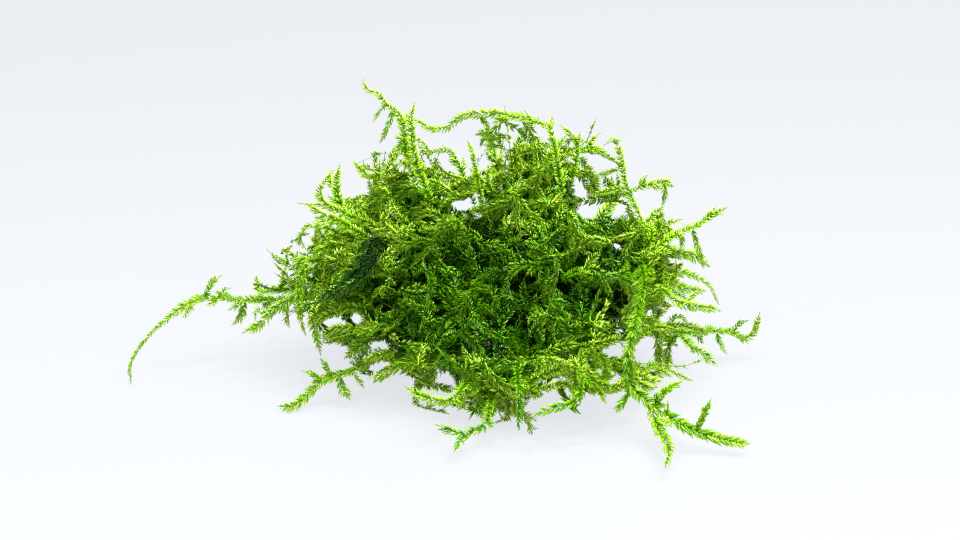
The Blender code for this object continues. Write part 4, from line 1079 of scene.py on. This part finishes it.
class Mound:
    """The mound's solid, which says how deep a point lies below its surface."""

    def __init__(self, node):
        mesh = node.data
        points = [v.co / MM for v in mesh.vertices]
        faces = [tuple(p.vertices) for p in mesh.polygons if p.normal.z > UNDERSIDE_NORMAL]
        self.tree = BVHTree.FromPolygons(points, faces)
        self.corners = np.array(points)[np.array(faces)]
        first, second, third = np.swapaxes(self.corners, 0, 1)
        cross = np.cross(second - first, third - first)
        self.areas = np.linalg.norm(cross, axis=1) / 2
        self.normals = unit(cross)

    def depth(self, point):
        """The depth of a point below the surface, less than 0 outside, and the surface's direction there."""
        place, normal, _, distance = self.tree.find_nearest(Vector(point))
        outside = (Vector(point) - place).dot(normal) > 0
        return (-distance if outside else distance), np.array(normal)

    def spread_places(self, rng, count):
        """Places spread evenly over the surface, each with its direction there."""
        chances = self.areas / self.areas.sum()
        places, normals = [], []
        for _ in range(count):
            faces = rng.choice(len(chances), SPREAD_TRIES, p=chances)
            shares = rng.dirichlet((1, 1, 1), SPREAD_TRIES)
            tries = (self.corners[faces] * shares[:, :, None]).sum(1)
            best = 0
            if places:
                gaps = np.linalg.norm(tries[:, None] - np.array(places)[None], axis=2).min(1)
                best = int(gaps.argmax())
            places.append(tries[best])
            normals.append(self.normals[faces[best]])
        return zip(np.array(places), np.array(normals))


def grow(rng, mound, start, heading, length, depths):
    """A wandering line from start, steered so that its depth goes from the first of depths to the second."""
    points = [start]
    turn = np.zeros(3)
    count = max(3, round(length / GROWTH_STEP))
    for number in range(count):
        depth, normal = mound.depth(points[-1])
        wanted = depths[0] + (depths[1] - depths[0]) * number / count
        turn = TURN_KEPT * turn + rng.normal(0, WANDER, 3)
        steer = np.clip(STEER * (depth - wanted), -MOST_STEER, MOST_STEER)
        heading = unit(heading + turn + normal * steer)
        if points[-1][2] < TURN_HEIGHT and heading[2] < 0:
            heading = unit(heading * TURNED_LEVEL + TURNED_UP)
        step = points[-1] + heading * GROWTH_STEP
        step[2] = max(step[2], LEAST_HEIGHT)
        points.append(step)
    return np.array(points)


def heading_along(rng, normal, flow=0.0):
    """A random direction along the surface that has this normal."""
    heading = rng.normal(0, 1, 3) + flow
    return unit(heading - (heading @ normal) * normal)


def seen_place(points):
    """Where points are seen: across and up in the plane through the origin that faces the viewer."""
    ray = points - EYE
    hit = EYE + ray * (-(EYE @ SIGHT_AHEAD) / (ray @ SIGHT_AHEAD))[:, None]
    return hit @ SIGHT_RIGHT, hit @ SIGHT_UP


def clear_of_openings(points):
    across, up = seen_place(points)
    clear = np.ones(len(points), bool)
    for middle, height, half_width, half_height in OPENINGS:
        clear &= ((across - middle) / half_width) ** 2 + ((up - height) / half_height) ** 2 > 1
    return clear


def clear_run(line, middle):
    """The points of a line round its middle one, up to the first gap on either side."""
    blocked = np.flatnonzero(~clear_of_openings(line))
    before, after = blocked[blocked <= middle], blocked[blocked > middle]
    if middle in before:
        return line[:0]
    return line[(before[-1] + 1 if len(before) else 0):(after[0] if len(after) else len(line))]


def cut_at_openings(stem):
    """The stem up to the first gap that it would hide, or nothing where too little is left."""
    clear = clear_of_openings(stem.points)
    kept = len(clear) if clear.all() else int(clear.argmin())
    if kept < 3:
        return None
    if kept < len(clear):
        for name in ("points", "width", "tone", "ahead", "side", "face"):
            setattr(stem, name, getattr(stem, name)[:kept])
    return stem


def tone_of(points):
    """The tone of the moss at these points: older moss and painted shade round the heart, young moss beyond
    it.
    """
    reach = np.linalg.norm((points - HEART) / HEART_REACH, axis=-1)
    share = np.clip((reach - HEART_EDGE) / HEART_FADE, 0, 1)
    low_front = np.clip(-points[..., 1] / FRONT_START - 1, 0, 1)
    gain = RIGHT_GAIN * points[..., 0] / RIGHT_REACH + FRONT_GAIN * low_front
    return HEART_TONE + (RIM_TONE - HEART_TONE) * share * share * (3 - 2 * share) + gain


def twigs(rng, branch, reach, sign):
    """The twigs of a side branch, to either side in turn."""
    made = []
    for number, place in enumerate(np.arange(TWIG_START, reach - TWIG_END, TWIG_SPACING)):
        length = rng.uniform(*TWIG_SHARES) * (reach - place)
        if length > LEAST_TWIG:
            made.append(side_branch(rng, branch, place, (-1) ** number * sign, length, TWIG_WIDTH))
    return made


def spray(rng, mound, place, normal, depth, length, settings):
    """A branched spray of the tangle that passes below this place on the surface."""
    flow = np.array((place[0] / OUTWARD_REACH, place[1] / OUTWARD_REACH, -SINKING))
    heading = heading_along(rng, normal, FLOW * flow)
    middle = place - normal * depth
    middle[2] = max(middle[2], LEAST_MIDDLE_HEIGHT)
    back = grow(rng, mound, middle, -heading, length * BACK_LENGTH, (depth, depth + BACK_DEEPENING))
    rise = rng.uniform(*(RISES if place[2] < CROWN_HEIGHT else CROWN_RISES))
    end_depth = min(depth, SURFACE_DEPTH) - rise
    front = grow(rng, mound, middle, heading, length * FRONT_LENGTH, (depth, end_depth))
    line = clear_run(np.vstack([back[::-1], front[1:]]), len(back) - 1)
    if len(line) < LEAST_POINTS:
        return []
    widths = FULL_FROND * np.interp(np.linspace(0, 1, len(line)), *SPRAY_TAPER)
    depths = np.array([mound.depth(point)[0] for point in line])
    tones = tone_of(line) + rng.normal(0, SPRAY_TONE_SCATTER) + np.linspace(*SPRAY_TONES, len(line))
    # Painted shade: moss deep below the surface is darkened, less so near the table.
    shade = SHADE_SHARE * np.interp(line[:, 2], LIT_HEIGHTS, (LIT_SHARE, 1))
    tones = tones * (1 - shade * np.clip((depths - SHADE_START) / SHADE_DEPTH, 0, 1))
    route = smooth_route(np.column_stack([line, widths, tones]))
    facing = unit(normal + rng.normal(0, SPRAY_FACING_SCATTER, 3))
    stem = Stem(
        route[:, :3], route[:, 3], route[:, 4], facing, thickness=SPRAY_THICKNESS,
        twist=sway(rng, len(route), SPRAY_TWIST))
    stems = [stem]
    total, spacing = stem.length(), settings.branch_spacing / MM
    longest = rng.uniform(*LONGEST_BRANCHES)
    sign = rng.choice((-1, 1))
    place = rng.uniform(*FIRST_BRANCH)
    while place < total - LAST_BRANCH:
        reach = longest * (1 - BRANCH_SHORTENING * (place / total)) * rng.uniform(*BRANCH_LENGTHS)
        branch = side_branch(rng, stem, place, sign, max(reach, LEAST_BRANCH), BRANCH_WIDTH)
        stems.append(branch)
        if reach > TWIGGED_LENGTH:
            stems += twigs(rng, branch, reach, sign)
        sign = -sign
        place += spacing * rng.uniform(*BRANCH_SPACINGS)
    return [kept for kept in map(cut_at_openings, stems) if kept]


def spray_share(place, inner):
    """The share of the sprays that grow at a place."""
    if inner:
        return 1.0 if place[1] < INNER_BACK_START else INNER_BACK_SHARE
    if place[2] > SPARSE_HEIGHT:
        return SPARSE_SHARE
    return BACK_SHARE if place[1] > BACK_START else 1.0


def wiry_stem(rng, mound, place, normal):
    """An old stem that has lost most of its leaves and lies over the tangle."""
    heading = heading_along(rng, normal)
    line = grow(rng, mound, place - normal * WIRY_DEPTHS[0], heading, rng.uniform(*WIRY_LENGTHS), WIRY_DEPTHS)
    points = smooth_route(line)
    return cut_at_openings(
        Stem(points, WIRY_WIDTH, WIRY_TONE, normal, thickness=WIRY_THICKNESS, leafiness=WIRY_LEAFINESS))


def part_of(place, inner):
    """The part of the tangle that a place belongs to."""
    if inner:
        return "front_heart" if place[1] < 0 else "back_heart"
    if place[2] > CROWN_HEIGHT:
        return "crown"
    angle = math.degrees(math.atan2(place[1], place[0])) % 360
    return SECTORS[int((angle + 30) % 360 // 60)]


class MOSS_OT_tangle(bpy.types.Operator):
    """Fill the mound with crossing branched sprays, dense inside and loose at its surface"""

    bl_idname = "peacock_moss.tangle"
    bl_label = "Grow the tangle"

    def execute(self, context):
        leaf, settings = context.scene.moss_leaf, context.scene.moss_tangle
        mound = Mound(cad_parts[MOUND_NODE])
        rng = np.random.default_rng(settings.seed)
        parts = {}

        def add(name, stems, scale=1.0):
            held, leaves = parts.setdefault(name, ([], []))
            held += stems
            leaves += [leaves_on(rng, stem, leaf, scale) for stem in stems]

        layers = (
            (settings.outer_sprays, OUTER_DEPTHS, 1.0, False),
            (settings.inner_sprays, INNER_DEPTHS, INNER_LEAF_SCALE, True),
        )
        for count, depths, scale, inner in layers:
            for place, normal in mound.spread_places(rng, count):
                if rng.random() > spray_share(place, inner):
                    continue
                depth = rng.uniform(*depths)
                length = settings.spray_length / MM * rng.uniform(*SPRAY_LENGTHS)
                name = part_of(place, inner)
                stems = spray(rng, mound, place, normal, depth, length, settings)
                add(name, stems, max(scale, BACK_LEAF_SCALE) if name in BACK_PARTS else scale)
        for place, normal in mound.spread_places(rng, settings.wiry_stems):
            stem = wiry_stem(rng, mound, place, normal)
            if stem:
                add(part_of(place, False), [stem])
        fronds = [(name, USUAL_TONE, rows) for name, lines in FRONDS.items() for rows in lines]
        fronds += [("front_left", DARK_FROND_TONE, rows) for rows in DARK_FRONDS]
        for name, tone, rows in fronds:
            rows = seen_rows(rows)
            bare = rows[:, 3].max() <= MOST_BARE
            stem = shoot_stem(rng, rows, tone, BARE_LEAFINESS if bare else LEAFY)
            add(name, [stem] if bare else [stem, *sprigs(rng, stem)])
        for name, (stems, leaves) in parts.items():
            moss_piece(f"tangle_{name}", stems, np.vstack(leaves), "far", leaf, MOUND_NODE)
        return {"FINISHED"}


def add_node(tree, kind, settings=(), inputs=()):
    """Adds a node, sets its own values, and gives its inputs values or links from other nodes' outputs."""
    node = tree.nodes.new(kind)
    for name, value in dict(settings).items():
        setattr(node, name, value)
    for name, value in dict(inputs).items():
        if isinstance(value, bpy.types.NodeSocket):
            tree.links.new(value, node.inputs[name])
        else:
            node.inputs[name].default_value = value
    return node


def new_material(name):
    made = bpy.data.materials.new(name)
    made.use_nodes = True
    made.node_tree.nodes.clear()
    return made, made.node_tree


def set_ramp(node, places, colours):
    ramp = node.color_ramp
    while len(ramp.elements) < len(places):
        ramp.elements.new(0.5)
    for element, place, colour in zip(ramp.elements, places, colours):
        element.position = place
        element.color = (*colour, 1.0)


def tone_and_height(tree):
    """The age and the height of a place on the pieces' map, as two outputs."""
    place = add_node(tree, "ShaderNodeUVMap", {"uv_map": UV_MAP})
    split = add_node(tree, "ShaderNodeSeparateXYZ", inputs={"Vector": place.outputs["UV"]})
    return split.outputs["X"], split.outputs["Y"]


def leaf_material(colours):
    """Wet moss leaf: one cell layer thick, so most of the light goes through it and comes out lime."""
    _, tree = new_material(LEAF_MATERIAL)
    age, height = tone_and_height(tree)
    # Painted shade: the leaf's base and midrib are greener than its tip, where the leaves overlap.
    base_to_tip_shift = add_node(
        tree, "ShaderNodeMath", {"operation": "MULTIPLY_ADD"},
        {0: height, 1: LEAF_TONE_RISE, 2: -LEAF_TONE_RISE * LEAF_TONE_MIDDLE})
    leaf_tone = add_node(tree, "ShaderNodeMath", {"operation": "ADD"}, {0: age, 1: base_to_tip_shift.outputs["Value"]})
    ramp = add_node(tree, "ShaderNodeValToRGB", inputs={"Fac": leaf_tone.outputs["Value"]})
    set_ramp(ramp, LEAF_AGES, (colours.old, colours.grown, colours.fresh, colours.young))
    # Painted shade: darker at the leaf's base and midrib, paler at its margins and tip.
    paler = add_node(
        tree, "ShaderNodeMapRange",
        inputs={
            "Value": height, "From Min": LEAF_BAND[0], "From Max": LEAF_BAND[1],
            "To Min": LEAF_SHADES[0], "To Max": LEAF_SHADES[1],
        })
    colour = add_node(
        tree, "ShaderNodeVectorMath", {"operation": "SCALE"},
        {0: ramp.outputs["Color"], "Scale": paler.outputs["Result"]})
    through, thrown = (
        add_node(tree, "ShaderNodeGamma", inputs={"Color": colour.outputs["Vector"], "Gamma": power})
        for power in (THROUGH_GAMMA, FACE_GAMMA))
    surface = add_node(tree, "ShaderNodeBsdfDiffuse", inputs={"Color": thrown.outputs["Color"]})
    clear = add_node(tree, "ShaderNodeBsdfTranslucent", inputs={"Color": through.outputs["Color"]})
    mixed = add_node(
        tree, "ShaderNodeMixShader",
        inputs={0: THROUGH_SHARE, 1: surface.outputs["BSDF"], 2: clear.outputs["BSDF"]})
    film = add_node(tree, "ShaderNodeBsdfGlossy", inputs={"Color": FILM_COLOUR, "Roughness": FILM_ROUGHNESS})
    fresnel = add_node(tree, "ShaderNodeFresnel", inputs={"IOR": FILM_IOR})
    share = add_node(
        tree, "ShaderNodeMath", {"operation": "MINIMUM"}, {0: fresnel.outputs["Fac"], 1: MOST_FILM})
    wet = add_node(
        tree, "ShaderNodeMixShader",
        inputs={0: share.outputs["Value"], 1: mixed.outputs["Shader"], 2: film.outputs["BSDF"]})
    add_node(tree, "ShaderNodeOutputMaterial", inputs={"Surface": wet.outputs["Shader"]})


def stem_material(colours):
    """Wiry moss stem: tough and nearly opaque, olive while it lives and brown when old."""
    _, tree = new_material(STEM_MATERIAL)
    age, _ = tone_and_height(tree)
    ramp = add_node(tree, "ShaderNodeValToRGB", inputs={"Fac": age})
    set_ramp(ramp, (0.0, 1.0), (colours.old_stem, colours.stem))
    surface = add_node(
        tree, "ShaderNodeBsdfPrincipled",
        inputs={
            "Base Color": ramp.outputs["Color"], "Roughness": STEM_ROUGHNESS,
            "Specular IOR Level": STEM_SHINE,
        })
    add_node(tree, "ShaderNodeOutputMaterial", inputs={"Surface": surface.outputs["BSDF"]})


def table_material(stage):
    """Opal acrylic over a light box: its glow keeps the shadows under the moss pale."""
    made, tree = new_material("opal_acrylic")
    place = add_node(tree, "ShaderNodeTexCoord")
    split = add_node(tree, "ShaderNodeSeparateXYZ", inputs={"Vector": place.outputs["Object"]})
    glow = add_node(
        tree, "ShaderNodeMapRange",
        inputs={
            "Value": split.outputs["Y"], "From Min": GLOW_FADE[0] * MM, "From Max": GLOW_FADE[1] * MM,
            "To Min": stage.table_glow, "To Max": stage.table_glow * (1 - GLOW_LOSS),
        })
    surface = add_node(
        tree, "ShaderNodeBsdfPrincipled",
        inputs={
            "Base Color": (*stage.table, 1.0), "Roughness": TABLE_ROUGHNESS,
            "Emission Color": (*linear(GLOW_COLOUR), 1.0), "Emission Strength": glow.outputs["Result"],
        })
    add_node(tree, "ShaderNodeOutputMaterial", inputs={"Surface": surface.outputs["BSDF"]})
    return made


def area_light(name, power, size, place):
    light = bpy.data.lights.new(name, "AREA")
    light.shape = "RECTANGLE"
    light.size, light.size_y = size
    light.energy = power
    lamp = bpy.data.objects.new(name, light)
    lamp.location = place
    lamp.rotation_euler = (Vector(LIGHT_AIM) - Vector(place)).to_track_quat("-Z", "Y").to_euler()
    bpy.context.scene.collection.objects.link(lamp)


class MOSS_OT_stage(bpy.types.Operator):
    """Lay the pale table, hang the lights and set the camera"""

    bl_idname = "peacock_moss.stage"
    bl_label = "Set the stage"

    def execute(self, context):
        scene, stage = context.scene, context.scene.moss_stage
        bm = bmesh.new()
        bmesh.ops.create_grid(bm, x_segments=1, y_segments=1, size=stage.table_size / 2)
        mesh = bpy.data.meshes.new("table")
        bm.to_mesh(mesh)
        bm.free()
        mesh.materials.append(table_material(stage))
        table = bpy.data.objects.new("table", mesh)
        scene.collection.objects.link(table)

        area_light("soft_light", stage.soft_light, SOFT_SIZE, SOFT_PLACE)
        for number, place in enumerate(KEY_PLACES, 1):
            area_light(f"key_light_{number}", stage.key_light, KEY_SIZE, place)
        world = bpy.data.worlds.new("pale_surroundings")
        world.use_nodes = True
        tree = world.node_tree
        tree.nodes.clear()
        background = add_node(
            tree, "ShaderNodeBackground",
            inputs={"Color": (*linear(SKY_COLOUR), 1.0), "Strength": stage.sky})
        add_node(tree, "ShaderNodeOutputWorld", inputs={"Surface": background.outputs["Background"]})
        scene.world = world
        scene.view_settings.view_transform = "Standard"
        # The fine leaves stay sharp when the picture is cleaned of noise.
        scene.cycles.denoising_prefilter = "NONE"
        scene.cycles.filter_width = SHARP_FILTER

        lens = bpy.data.cameras.new("camera")
        lens.sensor_width = SENSOR_WIDTH
        lens.lens = SIGHT_DISTANCE * SENSOR_WIDTH / PICTURE_WIDTH_AT_MOSS
        lens.clip_start = NEAREST_SEEN * MM
        camera = bpy.data.objects.new("camera", lens)
        camera.location = EYE * MM
        camera.rotation_euler = (math.pi / 2 - SIGHT_TILT, 0, 0)
        scene.collection.objects.link(camera)
        scene.camera = camera
        return {"FINISHED"}


class MOSS_OT_materials(bpy.types.Operator):
    """Make the materials of the leaves and stems"""

    bl_idname = "peacock_moss.materials"
    bl_label = "Mix the materials"

    def execute(self, context):
        leaf_material(context.scene.moss_colours)
        stem_material(context.scene.moss_colours)
        return {"FINISHED"}


class MOSS_PT_panel(bpy.types.Panel):
    """The clump's pieces and the values that shape them"""

    bl_idname = "MOSS_PT_panel"
    bl_label = "Peacock Moss"
    bl_space_type = "VIEW_3D"
    bl_region_type = "UI"
    bl_category = "Moss"

    def draw(self, context):
        for operator in OPERATORS:
            self.layout.operator(operator.bl_idname)
        for name, group in SETTINGS.items():
            box = self.layout.box()
            for value in group.__annotations__:
                box.prop(getattr(context.scene, name), value)


OPERATORS = (MOSS_OT_stage, MOSS_OT_materials, MOSS_OT_shoots, MOSS_OT_tangle)
SETTINGS = {
    "moss_leaf": LeafSettings,
    "moss_tangle": TangleSettings,
    "moss_colours": ColourSettings,
    "moss_stage": StageSettings,
}


def register():
    for group in SETTINGS.values():
        bpy.utils.register_class(group)
    for name, group in SETTINGS.items():
        setattr(bpy.types.Scene, name, PointerProperty(type=group))
    for made in (*OPERATORS, MOSS_PT_panel):
        bpy.utils.register_class(made)


def unregister():
    for made in (MOSS_PT_panel, *reversed(OPERATORS)):
        bpy.utils.unregister_class(made)
    for name, group in SETTINGS.items():
        delattr(bpy.types.Scene, name)
        bpy.utils.unregister_class(group)


def main():
    register()
    for operator in OPERATORS:
        group, name = operator.bl_idname.split(".")
        getattr(getattr(bpy.ops, group), name)()


if __name__ == "__main__":
    main()
